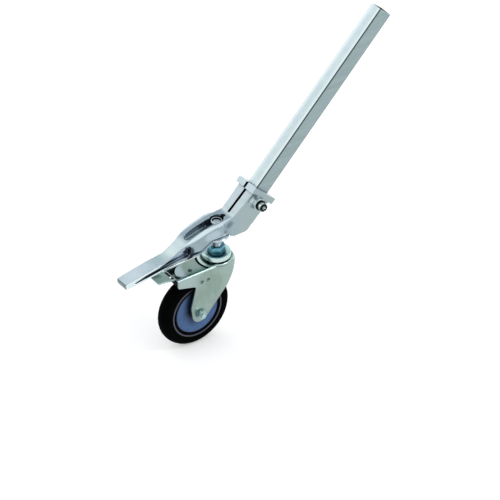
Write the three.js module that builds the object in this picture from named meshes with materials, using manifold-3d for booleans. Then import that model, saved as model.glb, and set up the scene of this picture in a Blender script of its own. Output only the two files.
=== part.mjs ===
import * as THREE from 'three';
import { mergeVertices } from 'three/addons/utils/BufferGeometryUtils.js';
import Module from 'manifold-3d';

const wasm = await Module();
wasm.setup();

// Driving dimensions in mm. X points from the wheel to the stand, Z up, Y across the leg.
const JOINT_GAP = 0.3;

// Wheel
const WHEEL_DIAMETER = 125;
const TYRE_WIDTH = 23.4;
const TYRE_EDGE_RADIUS = 10.6;
const TYRE_DEPTH = 17;
const TYRE_BEAD_WIDTH = 21;
const RIM_THICKNESS = 2.4;
const RIM_LIP = 0.6;
const RIM_GROOVE = 3.8;
const WEB_THICKNESS = 6;
const BARREL_RADIUS = 11.2;
const BARREL_LENGTH = 29;
const COVER_THICKNESS = 1.6;
const COVER_DISH = 1.2;
const COVER_RECESS = 0.5;
const BEARING_RADIUS = 8.9;
const BEARING_WIDTH = 7;
const BEARING_INSET = 0.6;
const BEARING_RACE = 1.4;
const BEARING_SEAL_DEPTH = 0.7;
const WHEEL_TRAIL = 44.4;

// Axle
const AXLE_RADIUS = 4;
const AXLE_HEAD_FLATS = 13;
const AXLE_HEAD_HEIGHT = 5.3;
const AXLE_NUT_HEIGHT = 6.5;
const AXLE_NUT_COLLAR = 1.6;
const AXLE_THREAD_OUT = 1.4;
const AXLE_WASHER_RADIUS = 8;
const AXLE_WASHER_THICKNESS = 1.6;
const SLEEVE_WALL = 1.9;

// Fork
const FORK_SHEET = 2.7;
const FORK_WIDTH = 40.6;
const FORK_BEND_RADIUS = 4.5;
const FORK_REAR_REACH = 30;
const FORK_FRONT_REACH = 84.5;
const FORK_CROWN_GAP = 12;
const FORK_REAR_SKIRT = 9;
const FORK_ARM_DROP_FRONT = 15;
const FORK_ARM_DROP_BACK = 24;
const FORK_ARM_ROOT = 51.5;
const FORK_EYE_RADIUS = 14.6;
const FORK_WAIST_FRONT = 16.6;
const FORK_WAIST_BACK = 15.4;
const FORK_CORNER_RADIUS = 5;
const FORK_RIM = 1;
const RACE_RING_RADIUS = 24;
const RACE_RING_DROP = 9;
const RACE_RING_EDGE = 1;
const SEAT_RADIUS = 31.2;
const SEAT_RISE = 1.5;
const SEAT_GROOVE = 2.2;
const SEAT_EDGE = 0.6;
const SEAT_GROOVE_DEPTH = 1.4;
const NOSE_START = 58.5;
const NOSE_REACH = 75;
const NOSE_ROLL_RADIUS = 34;
const NOSE_SIDE_GAP = 0.6;
const DIMPLE_RADIUS = 2.7;
const DIMPLE_DEPTH = 1.1;
const DIMPLE_FRONT = 41.2;
const DIMPLE_PITCH = 11.6;
const DIMPLE_DROP = 19.8;

// Swivel head
const STEM_RADIUS = 8;
const STEM_SHOULDER_RADIUS = 9.6;
const STEM_HEAD_RADIUS = 12;
const STEM_HEAD_HEIGHT = 3.4;
const STEM_TOP_RADIUS = 6.4;
const STEM_TOP_LENGTH = 7;
const STEM_TOP_PIT = 2.2;
const CROWN_BORE_RADIUS = 10.8;
const RACE_RADIUS = 22.3;
const RACE_GAP = 2.2;
const RACE_SHEET = 2.6;
const RACE_WALL_HEIGHT = 8.4;
const RACE_FLOOR_RADIUS = 15.8;
const RACE_FLOOR_DROP = 2.6;
const RACE_LIP_WIDTH = 2.6;
const BALL_CIRCLE_RADIUS = 18.2;
const BALL_RADIUS = 2.6;
const BALL_COUNT = 12;
const BALL_SEGMENTS = 6;
const BALL_GAP = 0.35;
const CAGE_WIDTH = 2.4;
const CAGE_THICKNESS = 1;
const LOWER_BALL_RADIUS = 2;
const LOWER_BALL_CIRCLE = 13.4;
const LOWER_RACE_RADIUS = 16.4;
const LOWER_RACE_THICKNESS = 4;
const LOCK_NUT_FLATS = 24;
const LOCK_NUT_HEIGHT = 14.4;
const LOCK_NUT_CHAMFER = 1.3;
const LOCK_NUT_TURN = 25;
const STEM_SHOW = 15.6;
const STEM_WASHER_RADIUS = 19.6;
const STEM_WASHER_THICKNESS = 3.6;
const STEM_WASHER_EDGE = 0.8;
const RING_NUT_RADIUS = 9.2;
const RING_NUT_BORE = 6.8;
const RING_NUT_HEIGHT = 9;
const RING_NUT_EDGE = 1.1;
const RING_NUT_DROP = 3;

// Cast foot: hub and tongue
const HUB_HEIGHT = 34;
const HUB_HALF_WIDTH = 20;
const HUB_SPOT_RADIUS = 20.8;
const HUB_SPOT_DEPTH = 5.2;
const HUB_NECK_REACH = 20;
const HUB_BULGE_FRONT = 58;
const HUB_RAIL_HALF_WIDTH = 13.2;
const TONGUE_REACH = 178.6;
const TONGUE_FALL = 46.5;
const TIP_THICKNESS = 9.8;
const TIP_HALF_WIDTH = 11.4;
const TIP_CORNER_RADIUS = 4.5;
const TIP_SLANT = 2.6;
const UNDERSIDE_BEND_REACH = 80;
const UNDERSIDE_BEND_DROP = 11.9;
const UNDERSIDE_REACH = 38;
const UNDERSIDE_DROP = 11;
const UNDERSIDE_RISE_REACH = 10;
const BULGE_EDGE_RADIUS = 6;
const CAST_WEB_HALF = 5.6;
const RAIL_THICKNESS = 3;
const RAIL_ROOT_THICKNESS = 5.6;
const HOLLOW_START = 11;
const HOLLOW_HEIGHT = 22;
const HOLLOW_CORNER_RADIUS = 4.2;
const HOLLOW_SLOT_WALL = 2;
const SLOT_HALF_WIDTH = 7.7;
const SLOT_ROOT_HALF_WIDTH = 8.6;
const SLOT_REACH = 59;
const SLOT_DEPTH = 9;
const SLOT_DEEP_REACH = 29;
const SLOT_DEEP_DEPTH = 15.5;
const SLOT_RIB_PITCH = 5;
const SLOT_RIB_WIDTH = 2;
const SLOT_RIB_HEIGHT = 7;
const SLOT_RIB_COUNT = 3;
const NUT_POCKET_RADIUS = 10.9;
const SLOT_TAIL_REACH = 15.5;
const SLOT_TAIL_HALF_WIDTH = 4;

// Cast foot: clamp socket
const LEG_ANGLE = 46.3;
const SOCKET_REACH = 47.8;
const SOCKET_RISE = 29.8;
const SOCKET_DEPTH = 43;
const CLAMP_HALF_WIDTH = 18;
const CLAMP_NECK_HALF_WIDTH = 15.8;
const CLAMP_ROOF = 7;
const CLAMP_ROOF_LOW = 9.9;
const CLAMP_FLOOR = 5.4;
const CLAMP_HEEL_RADIUS = 9;
const FLANGE_THICKNESS = 10.6;
const FLANGE_WIDTH = 44.6;
const FLANGE_HEIGHT = 51.4;
const FLANGE_OFFSET = 0.8;
const FLANGE_CORNER_RADIUS = 2.2;
const SPLIT_WIDTH = 3.6;
const SPLIT_LENGTH = 56;
const BOSS_BASE_RADIUS = 12.2;
const BOSS_RADIUS = 9.8;
const BOSS_HEIGHT = 10.5;
const SCREW_SETBACK = 18.6;
const SCREW_RISE = 4.6;
const SCREW_RADIUS = 4;
const SCREW_HEAD_RADIUS = 6.4;
const SCREW_HEAD_HEIGHT = 9;
const SCREW_HEAD_EDGE = 0.8;
const SCREW_SOCKET_FLATS = 6.4;
const SCREW_SOCKET_DEPTH = 4.6;
const SCREW_FAR_COVER = 2;
const SCREW_WASHER_RADIUS = 8.6;
const SCREW_WASHER_THICKNESS = 1.8;

// Leg tube
const TUBE_WIDTH = 22.7;
const TUBE_HEIGHT = 27.7;
const TUBE_WALL = 1.8;
const TUBE_CORNER_RADIUS = 2.6;
const TUBE_LENGTH = 376;

// Brake
const PEDAL_SHEET = 2.5;
const PEDAL_HALF_WIDTH = 13.6;
const PEDAL_NECK_HALF_WIDTH = 11;
const PEDAL_REACH = 117.5;
const PEDAL_KNEE_RISE = 3.3;
const PEDAL_TURN = 7.6;
const PEDAL_END_RISE = 2;
const PEDAL_STEP_TOP = 84;
const PEDAL_STEP_FOOT = 77;
const PEDAL_STEP_RISE = 8.6;
const PEDAL_LEVEL_DROP = 6.2;
const PEDAL_SLOT_LENGTH = 5;
const PEDAL_SLOT_HALF = 11;
const PEDAL_SLOT_REACH = 90.6;
const PIN_REACH = 40;
const PIN_RADIUS = 2.7;
const PIN_SEAT = 1.3;
const BARREL_WALL = 1.7;
const BARREL_HEADROOM = 1.6;
const SHOE_CENTRE = 73.6;
const SHOE_LENGTH = 12;
const SHOE_HALF_WIDTH = 8.5;
const LEAF_THICKNESS = 0.8;
const LEAF_HALF_WIDTH = 8.8;
const LEAF_FRONT = 58;
const LEAF_BACK = 36.5;
const RIVET_REACH = 54;
const RIVET_SIDE = 6.4;
const RIVET_RADIUS = 2;
const RIVET_HEAD_RADIUS = 3.6;
const RIVET_HEAD_HEIGHT = 0.9;
const RIVET_PIT_RADIUS = 1.1;
const RIVET_PIT_DEPTH = 0.6;

// Share of the pedal blade at its knee, from the step to the end
const PEDAL_KNEE_SHARE = 0.46;
// Shares of the tongue: along it from the tip to the stem, and up from the tip to the hub top
const tongueTopShares = [
  [0, 0], [0.311, 0.207], [0.486, 0.32], [0.627, 0.622], [0.718, 0.755],
  [0.819, 0.885], [0.921, 0.972], [1, 1],
];
// Shares of the tongue length and of the hub half width
const castPlanShares = [
  [0.06, 0.6], [0.3, 0.63], [0.48, 0.55], [0.615, 0.62], [0.69, 0.86],
  [0.76, 0.955], [0.9, 1], [1, 1], [1.022, 0.81],
];
// Shares of the hollow in the tongue side: along it from its point, and up
const hollowRoofShares = [
  [0, 0.02], [0.29, 0.22], [0.51, 0.25], [0.68, 0.37], [0.81, 0.52], [0.93, 0.55], [1, 0.6],
];
// The same for its shallow upper part beside the slot
const hollowShoulderShares = [[0.55, 0.1], [0.62, 0.3], [0.68, 0.37], [0.81, 0.58], [0.93, 0.86], [1, 0.93]];
// Shares of the bulge's lower edge: along it from its front to the stem, and up the hub
const bulgeFloorShares = [
  [-0.26, -0.12], [-0.02, -0.09], [0.02, 0.01], [0.28, 0.01], [0.64, 0.375], [1.05, 0.345], [1.2, 0.25],
  [1.38, 0],
];
const HALF = 0.5;
const ARC_STEPS = 4;
const ROUND_STEPS = 20;
const TRACK_STEPS = 28;
const FINE_STEPS = 40;

const DEGREE = Math.PI / 180;

// Solids
function solid(geometry) {
  const bare = geometry.index ? geometry.toNonIndexed() : geometry.clone();
  bare.deleteAttribute('normal');
  bare.deleteAttribute('uv');
  const merged = mergeVertices(bare, 1e-5);
  const mesh = new wasm.Mesh({
    numProp: 3,
    vertProperties: new Float32Array(merged.attributes.position.array),
    triVerts: new Uint32Array(merged.index.array),
  });
  return new wasm.Manifold(mesh);
}

function unite(first, ...others) {
  return others.reduce((whole, next) => whole.add(next), first);
}

function cut(first, ...others) {
  return others.reduce((whole, next) => whole.subtract(next), first);
}

function toGeometry(manifold) {
  const mesh = manifold.getMesh();
  const geometry = new THREE.BufferGeometry();
  const positions = new Float32Array(mesh.numVert * 3);
  for (let i = 0; i < mesh.numVert; i += 1) {
    for (let k = 0; k < 3; k += 1) {
      positions[i * 3 + k] = mesh.vertProperties[i * mesh.numProp + k];
    }
  }
  geometry.setAttribute('position', new THREE.BufferAttribute(positions, 3));
  geometry.setIndex(new THREE.BufferAttribute(new Uint32Array(mesh.triVerts), 1));
  geometry.computeVertexNormals();
  return geometry;
}

// A closed outline whose corners are rounded: each point is [x, y] or [x, y, radius]
function roundedShape(points) {
  const shape = new THREE.Shape();
  const count = points.length;
  const outline = [];
  for (let i = 0; i < count; i += 1) {
    const [x, y, radius = 0] = points[i];
    const here = new THREE.Vector2(x, y);
    if (radius === 0) {
      outline.push(here);
      continue;
    }
    const before = points[(i + count - 1) % count];
    const after = points[(i + 1) % count];
    const back = new THREE.Vector2(before[0], before[1]).sub(here);
    const ahead = new THREE.Vector2(after[0], after[1]).sub(here);
    const reach = Math.min(back.length(), ahead.length()) * 0.48;
    back.normalize();
    ahead.normalize();
    const corner = Math.acos(THREE.MathUtils.clamp(back.dot(ahead), -1, 1));
    const trim = Math.min(radius / Math.tan(corner * HALF), reach);
    const start = here.clone().addScaledVector(back, trim);
    const end = here.clone().addScaledVector(ahead, trim);
    for (let s = 0; s <= ARC_STEPS; s += 1) {
      const t = s / ARC_STEPS;
      const a = start.clone().lerp(here, t);
      const b = here.clone().lerp(end, t);
      outline.push(a.lerp(b, t));
    }
  }
  shape.setFromPoints(outline);
  return shape;
}

function prism(shape, depth, holes = []) {
  holes.forEach((hole) => shape.holes.push(hole));
  return new THREE.ExtrudeGeometry(shape, { depth, bevelEnabled: false, curveSegments: 12 });
}

// An X-Z outline drawn out along Y from y0 to y1
function sidePrism(points, y0, y1) {
  const geometry = prism(roundedShape(points), y1 - y0);
  geometry.rotateX(90 * DEGREE);
  geometry.translate(0, y1, 0);
  return solid(geometry);
}

// An X-Y outline drawn out along Z from z0 to z1
function planPrism(points, z0, z1) {
  const geometry = prism(roundedShape(points), z1 - z0);
  geometry.translate(0, 0, z0);
  return solid(geometry);
}

function box(x0, x1, y0, y1, z0, z1) {
  const geometry = new THREE.BoxGeometry(x1 - x0, y1 - y0, z1 - z0);
  geometry.translate((x0 + x1) * HALF, (y0 + y1) * HALF, (z0 + z1) * HALF);
  return solid(geometry);
}

// A round piece about the Z axis from [radius, height] points that start and end on the axis
// or close on themselves
function turned(points, steps = ROUND_STEPS) {
  const profile = points.map(([r, z]) => new THREE.Vector2(r, z));
  const geometry = new THREE.LatheGeometry(profile, steps);
  geometry.rotateX(90 * DEGREE);
  return solid(geometry);
}

function rod(radius, z0, z1, steps = ROUND_STEPS) {
  return turned([[0, z0], [radius, z0], [radius, z1], [0, z1]], steps);
}

function ring(inner, outer, z0, z1, steps = ROUND_STEPS) {
  return turned([[inner, z0], [outer, z0], [outer, z1], [inner, z1], [inner, z0]], steps);
}

function hexagon(flats, z0, z1, chamfer = 0) {
  const corner = flats / Math.sqrt(3);
  const geometry = new THREE.CylinderGeometry(corner, corner, z1 - z0, 6);
  geometry.rotateX(90 * DEGREE);
  geometry.rotateZ(30 * DEGREE);
  geometry.translate(0, 0, (z0 + z1) * HALF);
  const body = solid(geometry);
  if (chamfer === 0) {
    return body;
  }
  const edge = flats * HALF - chamfer * 0.1;
  const slope = chamfer * 1.6;
  return body.intersect(turned([
    [0, z0], [edge, z0], [edge + slope, z0 + chamfer], [edge + slope, z1 - chamfer], [edge, z1], [0, z1],
  ]));
}

// Turns a Z-axis piece so that its axis lies on Y, with its +Z end towards -Y, the near side
function toNear(manifold) {
  return manifold.rotate([90, 0, 0]);
}

function mirrorY(manifold) {
  return manifold.mirror([0, 1, 0]);
}

const parts = [];
function piece(name, manifold, colour, roughness, metalness) {
  parts.push({ name, manifold, colour, roughness, metalness });
}

// Heights, from the floor up
const wheelRadius = WHEEL_DIAMETER * HALF;
const axleZ = wheelRadius;
const axleX = -WHEEL_TRAIL;
const tyreTop = axleZ + wheelRadius;
const crownUnder = tyreTop + FORK_CROWN_GAP;
const crownTop = crownUnder + FORK_SHEET;
const seatTop = crownTop + SEAT_RISE;
const raceUnder = seatTop + RACE_GAP;
const raceTop = raceUnder + RACE_WALL_HEIGHT;
const raceFloor = raceTop - RACE_FLOOR_DROP;
const lockNutZ = raceFloor + JOINT_GAP;
const lockNutTop = lockNutZ + LOCK_NUT_HEIGHT;
const washerZ = lockNutTop + STEM_SHOW;
const washerTop = washerZ + STEM_WASHER_THICKNESS;
const spotZ = washerTop + JOINT_GAP;
const hubUnder = spotZ - HUB_SPOT_DEPTH;
const hubTop = hubUnder + HUB_HEIGHT;

// Wheel pieces are built about Z and turned onto the axle
function ontoAxle(manifold) {
  return toNear(manifold).translate([axleX, 0, axleZ]);
}

function arcPoints(cx, cy, radius, from, to, steps) {
  const points = [];
  for (let i = 0; i <= steps; i += 1) {
    const angle = (from + (to - from) * (i / steps)) * DEGREE;
    points.push([cx + radius * Math.cos(angle), cy + radius * Math.sin(angle)]);
  }
  return points;
}

function buildTyre() {
  const half = TYRE_WIDTH * HALF;
  const shoulder = half - TYRE_EDGE_RADIUS;
  const centre = wheelRadius - TYRE_EDGE_RADIUS;
  const inner = wheelRadius - TYRE_DEPTH;
  const bead = TYRE_BEAD_WIDTH * HALF;
  const lower = arcPoints(centre, -shoulder, TYRE_EDGE_RADIUS, -90, 0, 6);
  const upper = arcPoints(centre, shoulder, TYRE_EDGE_RADIUS, 0, 90, 6);
  const profile = [[inner, -bead], ...lower, ...upper, [inner, bead], [inner, -bead]];
  return ontoAxle(turned(profile, FINE_STEPS));
}

const rimRadius = wheelRadius - TYRE_DEPTH - JOINT_GAP;
const rimInner = rimRadius - RIM_THICKNESS;
const coverRadius = rimInner - RIM_GROOVE;
const coverFace = TYRE_WIDTH * HALF - COVER_RECESS;

function buildCore() {
  const rimHalf = TYRE_WIDTH * HALF + RIM_LIP;
  const webHalf = WEB_THICKNESS * HALF;
  const barrelHalf = BARREL_LENGTH * HALF;
  const body = turned([
    [AXLE_RADIUS + SLEEVE_WALL + JOINT_GAP * 3, -barrelHalf], [BARREL_RADIUS, -barrelHalf],
    [BARREL_RADIUS, -webHalf],
    [rimInner, -webHalf], [rimInner, -rimHalf], [rimRadius, -rimHalf], [rimRadius, rimHalf],
    [rimInner, rimHalf], [rimInner, webHalf], [BARREL_RADIUS, webHalf], [BARREL_RADIUS, barrelHalf],
    [AXLE_RADIUS + SLEEVE_WALL + JOINT_GAP * 3, barrelHalf],
    [AXLE_RADIUS + SLEEVE_WALL + JOINT_GAP * 3, -barrelHalf],
  ], FINE_STEPS);
  const seatDepth = BEARING_INSET + BEARING_WIDTH + JOINT_GAP;
  const seat = rod(BEARING_RADIUS + JOINT_GAP, barrelHalf - seatDepth, barrelHalf + BEARING_WIDTH);
  return ontoAxle(cut(body, seat, seat.mirror([0, 0, 1])));
}

function buildBearing() {
  const outerFace = BARREL_LENGTH * HALF - BEARING_INSET;
  const innerFace = outerFace - BEARING_WIDTH;
  const bore = AXLE_RADIUS + SLEEVE_WALL + JOINT_GAP;
  const body = ring(bore, BEARING_RADIUS, innerFace, outerFace);
  const seal = ring(
    bore + BEARING_RACE * HALF, BEARING_RADIUS - BEARING_RACE * HALF, outerFace - BEARING_SEAL_DEPTH,
    outerFace + BEARING_WIDTH,
  );
  return cut(body, seal);
}

function buildCover() {
  const inner = BARREL_RADIUS + JOINT_GAP;
  const low = coverFace - COVER_THICKNESS;
  return turned([
    [inner, low - COVER_DISH], [coverRadius - COVER_THICKNESS, low], [coverRadius - COVER_THICKNESS,
      WEB_THICKNESS * HALF + JOINT_GAP], [coverRadius, WEB_THICKNESS * HALF + JOINT_GAP],
    [coverRadius, coverFace - COVER_THICKNESS * HALF], [coverRadius - COVER_THICKNESS * HALF, coverFace],
    [inner, coverFace - COVER_DISH], [inner, low - COVER_DISH],
  ], FINE_STEPS);
}

// Fork
const forkHalf = FORK_WIDTH * HALF;
const forkInner = forkHalf - FORK_SHEET;

function forkPlan(half, front, rear) {
  const tail = arcPoints(rear - half, 0, half, -90, 90, 12);
  return [[front, -half], ...tail, [front, half]];
}

function forkSide() {
  const eye = FORK_EYE_RADIUS;
  const bottom = arcPoints(axleX, axleZ, eye, 200, 318, 9);
  return [
    [-FORK_FRONT_REACH, crownTop, JOINT_GAP],
    [-FORK_FRONT_REACH, crownTop - FORK_ARM_DROP_FRONT, FORK_CORNER_RADIUS * HALF],
    [-FORK_ARM_ROOT, crownTop - FORK_ARM_DROP_BACK, FORK_CORNER_RADIUS],
    [axleX - FORK_WAIST_FRONT, axleZ + eye, eye],
    ...bottom,
    [axleX + FORK_WAIST_BACK, axleZ - eye * 0.35, eye],
    [FORK_REAR_REACH * 0.2, crownTop - FORK_ARM_DROP_BACK * 1.8, FORK_REAR_REACH * 2],
    [FORK_REAR_REACH * 0.82, crownTop - FORK_REAR_SKIRT * 1.35, FORK_CORNER_RADIUS * 2],
    [FORK_REAR_REACH + FORK_SHEET, crownTop - FORK_REAR_SKIRT],
    [FORK_REAR_REACH + FORK_SHEET, crownTop],
  ];
}

// The top edge of the crown is rounded by stacking narrower slices as the bend rises
function crownShell(half, front, rear, top, radius) {
  const steps = 4;
  const slices = [];
  for (let i = 0; i < steps; i += 1) {
    const low = 90 * (i / steps) * DEGREE;
    const high = 90 * ((i + 1) / steps) * DEGREE;
    const inset = radius * (1 - Math.cos(high));
    const z0 = top - radius + radius * Math.sin(low);
    const z1 = top - radius + radius * Math.sin(high);
    slices.push({ inset, z0, z1, start: radius * (1 - Math.cos(low)) });
  }
  return slices.map(({ inset, start, z0, z1 }) => taper(half, front, rear, start, inset, z0, z1));
}

// A slice whose outline is drawn in from one inset to the next
function taper(half, front, rear, inset0, inset1, z0, z1) {
  const below = forkPlan(half - inset0, front, rear - inset0);
  const above = forkPlan(half - inset1, front, rear - inset1);
  const count = below.length;
  const positions = [];
  below.forEach(([x, y]) => positions.push(x, y, z0));
  above.forEach(([x, y]) => positions.push(x, y, z1));
  const index = [];
  for (let i = 0; i < count; i += 1) {
    const j = (i + 1) % count;
    index.push(i, j, count + j, i, count + j, count + i);
  }
  for (let i = 1; i < count - 1; i += 1) {
    index.push(0, i + 1, i);
    index.push(count, count + i, count + i + 1);
  }
  const geometry = new THREE.BufferGeometry();
  geometry.setAttribute('position', new THREE.Float32BufferAttribute(positions, 3));
  geometry.setIndex(index);
  return solid(geometry);
}

function roundedBlock(half, front, rear, bottom, top, radius) {
  const base = planPrism(forkPlan(half, front, rear), bottom, top - radius);
  return unite(base, ...crownShell(half, front, rear, top, radius));
}

const mouthHalf = forkHalf - FORK_BEND_RADIUS - FORK_RIM;

function buildNose() {
  const run = NOSE_REACH - NOSE_START;
  const radius = NOSE_ROLL_RADIUS;
  const steps = 7;
  const upper = [];
  const lower = [];
  for (let i = 0; i <= steps; i += 1) {
    const along = run * (i / steps);
    const fall = radius - Math.sqrt(radius ** 2 - along ** 2);
    upper.push([-NOSE_START - along, crownTop - fall]);
    lower.push([-NOSE_START - along, crownUnder - fall]);
  }
  const strip = [
    [-NOSE_START + FORK_SHEET, crownTop], ...upper, ...lower.reverse(),
    [-NOSE_START + FORK_SHEET, crownUnder],
  ];
  const half = mouthHalf - NOSE_SIDE_GAP;
  const tip = arcPoints(-NOSE_REACH + half, 0, half, 90, 270, 18);
  const plan = [[-NOSE_START + FORK_SHEET * 2, -half], [-NOSE_START + FORK_SHEET * 2, half], ...tip];
  return sidePrism(strip, -forkHalf, forkHalf).intersect(
    planPrism(plan, crownUnder - FORK_FRONT_REACH, crownTop + FORK_SHEET),
  );
}

function buildFork() {
  const bottom = axleZ - FORK_EYE_RADIUS - FORK_SHEET;
  const outer = roundedBlock(
    forkHalf, -FORK_FRONT_REACH, FORK_REAR_REACH, bottom, crownTop, FORK_BEND_RADIUS,
  );
  const innerRadius = FORK_BEND_RADIUS - FORK_SHEET;
  const inner = roundedBlock(
    forkInner, -FORK_FRONT_REACH - FORK_SHEET, FORK_REAR_REACH - FORK_SHEET, bottom - FORK_SHEET,
    crownUnder, innerRadius,
  );
  const opening = box(
    -FORK_FRONT_REACH - FORK_SHEET, -NOSE_START, -mouthHalf, mouthHalf, crownUnder - FORK_BEND_RADIUS,
    crownTop + FORK_SHEET,
  );
  const side = sidePrism(forkSide(), -forkHalf - FORK_SHEET, forkHalf + FORK_SHEET);
  const flare = turned([
    [0, seatTop - RACE_RING_DROP], [forkHalf - FORK_SHEET * HALF, seatTop - RACE_RING_DROP],
    [RACE_RING_RADIUS, seatTop - SEAT_RISE - RACE_RING_EDGE], [RACE_RING_RADIUS, seatTop - RACE_RING_EDGE],
    [RACE_RING_RADIUS - RACE_RING_EDGE, seatTop], [0, seatTop],
  ], FINE_STEPS);
  let body = cut(unite(outer, flare), inner, opening).intersect(unite(side, flare));
  const hollow = roundedBlock(
    forkInner, -SEAT_RADIUS, FORK_REAR_REACH - FORK_SHEET, bottom, crownUnder, innerRadius,
  );
  body = cut(body, hollow);
  // Raised seat under the upper balls, ringed by a groove
  const seatHalf = forkHalf - FORK_BEND_RADIUS * HALF;
  const seatPlan = planPrism(
    forkPlan(seatHalf, -SEAT_RADIUS * 1.5, FORK_REAR_REACH - forkHalf + seatHalf),
    crownTop - FORK_SHEET * HALF, seatTop,
  );
  const seat = turned([
    [0, crownTop - FORK_SHEET * HALF], [SEAT_RADIUS, crownTop - FORK_SHEET * HALF],
    [SEAT_RADIUS, crownTop + SEAT_EDGE], [RACE_RING_RADIUS, seatTop], [0, seatTop],
  ], FINE_STEPS).intersect(seatPlan);
  const groove = ring(
    SEAT_RADIUS, SEAT_RADIUS + SEAT_GROOVE, crownTop - SEAT_GROOVE_DEPTH, crownTop + FORK_SHEET, FINE_STEPS,
  ).intersect(box(
    -SEAT_RADIUS * 1.5, 0, -forkHalf + FORK_BEND_RADIUS, forkHalf - FORK_BEND_RADIUS, crownUnder,
    crownTop + FORK_SHEET,
  ));
  body = unite(body, seat, buildNose());
  const upperTrack = ballTrack(BALL_CIRCLE_RADIUS, BALL_RADIUS + BALL_GAP, upperBallZ);
  const lowerTrack = ballTrack(LOWER_BALL_CIRCLE, LOWER_BALL_RADIUS + BALL_GAP, lowerBallZ);
  const bore = rod(CROWN_BORE_RADIUS, crownUnder - FORK_SHEET, seatTop + FORK_SHEET);
  const axleHole = toNear(rod(AXLE_RADIUS + JOINT_GAP, -FORK_WIDTH, FORK_WIDTH)).translate([axleX, 0, axleZ]);
  const pinReach = forkInner + PIN_SEAT;
  const pinHole = toNear(rod(PIN_RADIUS + JOINT_GAP * HALF, -pinReach, pinReach))
    .translate([-PIN_REACH, 0, pinZ]);
  const rivetHole = rod(RIVET_RADIUS + JOINT_GAP, crownUnder - FORK_SHEET, crownTop + FORK_SHEET)
    .translate([-RIVET_REACH, -RIVET_SIDE, 0]);
  body = cut(body, groove, upperTrack, lowerTrack, bore, axleHole, pinHole, rivetHole);
  for (let i = 0; i < 2; i += 1) {
    const x = -DIMPLE_FRONT + DIMPLE_PITCH * i;
    const dimple = toNear(rod(DIMPLE_RADIUS, forkHalf - DIMPLE_DEPTH, forkHalf + FORK_SHEET, 20))
      .translate([x, 0, crownTop - DIMPLE_DROP]);
    body = cut(body, dimple, mirrorY(dimple));
  }
  return body;
}

function ballTrack(circle, radius, z) {
  const profile = arcPoints(circle, z, radius, 0, 360, 8);
  return turned(profile, TRACK_STEPS);
}

function ballRing(circle, radius, z) {
  const cage = ring(circle - CAGE_WIDTH * HALF, circle + CAGE_WIDTH * HALF, z - CAGE_THICKNESS * HALF,
    z + CAGE_THICKNESS * HALF);
  let body = cage;
  for (let i = 0; i < BALL_COUNT; i += 1) {
    const geometry = new THREE.SphereGeometry(radius, BALL_SEGMENTS, BALL_SEGMENTS * HALF + 1);
    geometry.translate(circle, 0, z);
    geometry.rotateZ((i * 360 * DEGREE) / BALL_COUNT);
    body = unite(body, solid(geometry));
  }
  return body;
}

// Ball heights: the upper balls run between the crown seat and the dish, the lower ones under the crown
const upperBallZ = (seatTop + raceUnder) * HALF;
const lowerBallZ = crownUnder - LOWER_BALL_RADIUS * 0.6;
const lowerRaceTop = crownUnder - LOWER_BALL_RADIUS * 1.1;
const lowerRaceZ = lowerRaceTop - LOWER_RACE_THICKNESS;

function buildUpperRace() {
  const bore = STEM_RADIUS + JOINT_GAP;
  const lip = RACE_RADIUS - RACE_LIP_WIDTH;
  const edge = RACE_SHEET * HALF;
  const floorUnder = raceFloor - RACE_SHEET;
  const body = turned([
    [bore, floorUnder], [RACE_FLOOR_RADIUS - RACE_SHEET, floorUnder],
    [RACE_FLOOR_RADIUS - RACE_SHEET * HALF, raceUnder], [RACE_RADIUS - edge, raceUnder],
    [RACE_RADIUS, raceUnder + edge], [RACE_RADIUS, raceTop - edge], [RACE_RADIUS - edge * HALF, raceTop],
    [lip, raceTop], [RACE_FLOOR_RADIUS, raceFloor], [bore, raceFloor], [bore, floorUnder],
  ], FINE_STEPS);
  return cut(body, ballTrack(BALL_CIRCLE_RADIUS, BALL_RADIUS + BALL_GAP, upperBallZ));
}

function buildLowerRace() {
  const bore = STEM_RADIUS + JOINT_GAP;
  const edge = RACE_SHEET * HALF;
  const body = turned([
    [bore, lowerRaceZ], [LOWER_RACE_RADIUS - edge, lowerRaceZ], [LOWER_RACE_RADIUS, lowerRaceZ + edge],
    [LOWER_RACE_RADIUS, lowerRaceTop], [bore, lowerRaceTop], [bore, lowerRaceZ],
  ]);
  return cut(body, ballTrack(LOWER_BALL_CIRCLE, LOWER_BALL_RADIUS + BALL_GAP, lowerBallZ));
}

const ringNutTop = hubTop - RING_NUT_DROP;
const ringNutZ = ringNutTop - RING_NUT_HEIGHT;

function buildStem() {
  const headTop = lowerRaceZ - JOINT_GAP;
  const shoulderLow = lowerRaceTop + JOINT_GAP;
  const shoulderTop = raceFloor - RACE_SHEET - JOINT_GAP;
  const neck = ringNutZ - JOINT_GAP;
  const top = neck + STEM_TOP_LENGTH;
  const edge = STEM_HEAD_HEIGHT * 0.3;
  return turned([
    [0, headTop - STEM_HEAD_HEIGHT], [STEM_HEAD_RADIUS - edge, headTop - STEM_HEAD_HEIGHT],
    [STEM_HEAD_RADIUS, headTop - STEM_HEAD_HEIGHT + edge], [STEM_HEAD_RADIUS, headTop],
    [STEM_RADIUS, headTop], [STEM_RADIUS, shoulderLow], [STEM_SHOULDER_RADIUS, shoulderLow],
    [STEM_SHOULDER_RADIUS, shoulderTop], [STEM_RADIUS, shoulderTop], [STEM_RADIUS, neck],
    [STEM_TOP_RADIUS, neck], [STEM_TOP_RADIUS, top - edge], [STEM_TOP_RADIUS - edge, top],
    [STEM_TOP_PIT * HALF, top], [0, top - STEM_TOP_PIT],
  ]);
}

// Cast foot
const cosLeg = Math.cos(LEG_ANGLE * DEGREE);
const sinLeg = Math.sin(LEG_ANGLE * DEGREE);
const socketX = SOCKET_REACH;
const socketZ = hubUnder + SOCKET_RISE;

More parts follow.
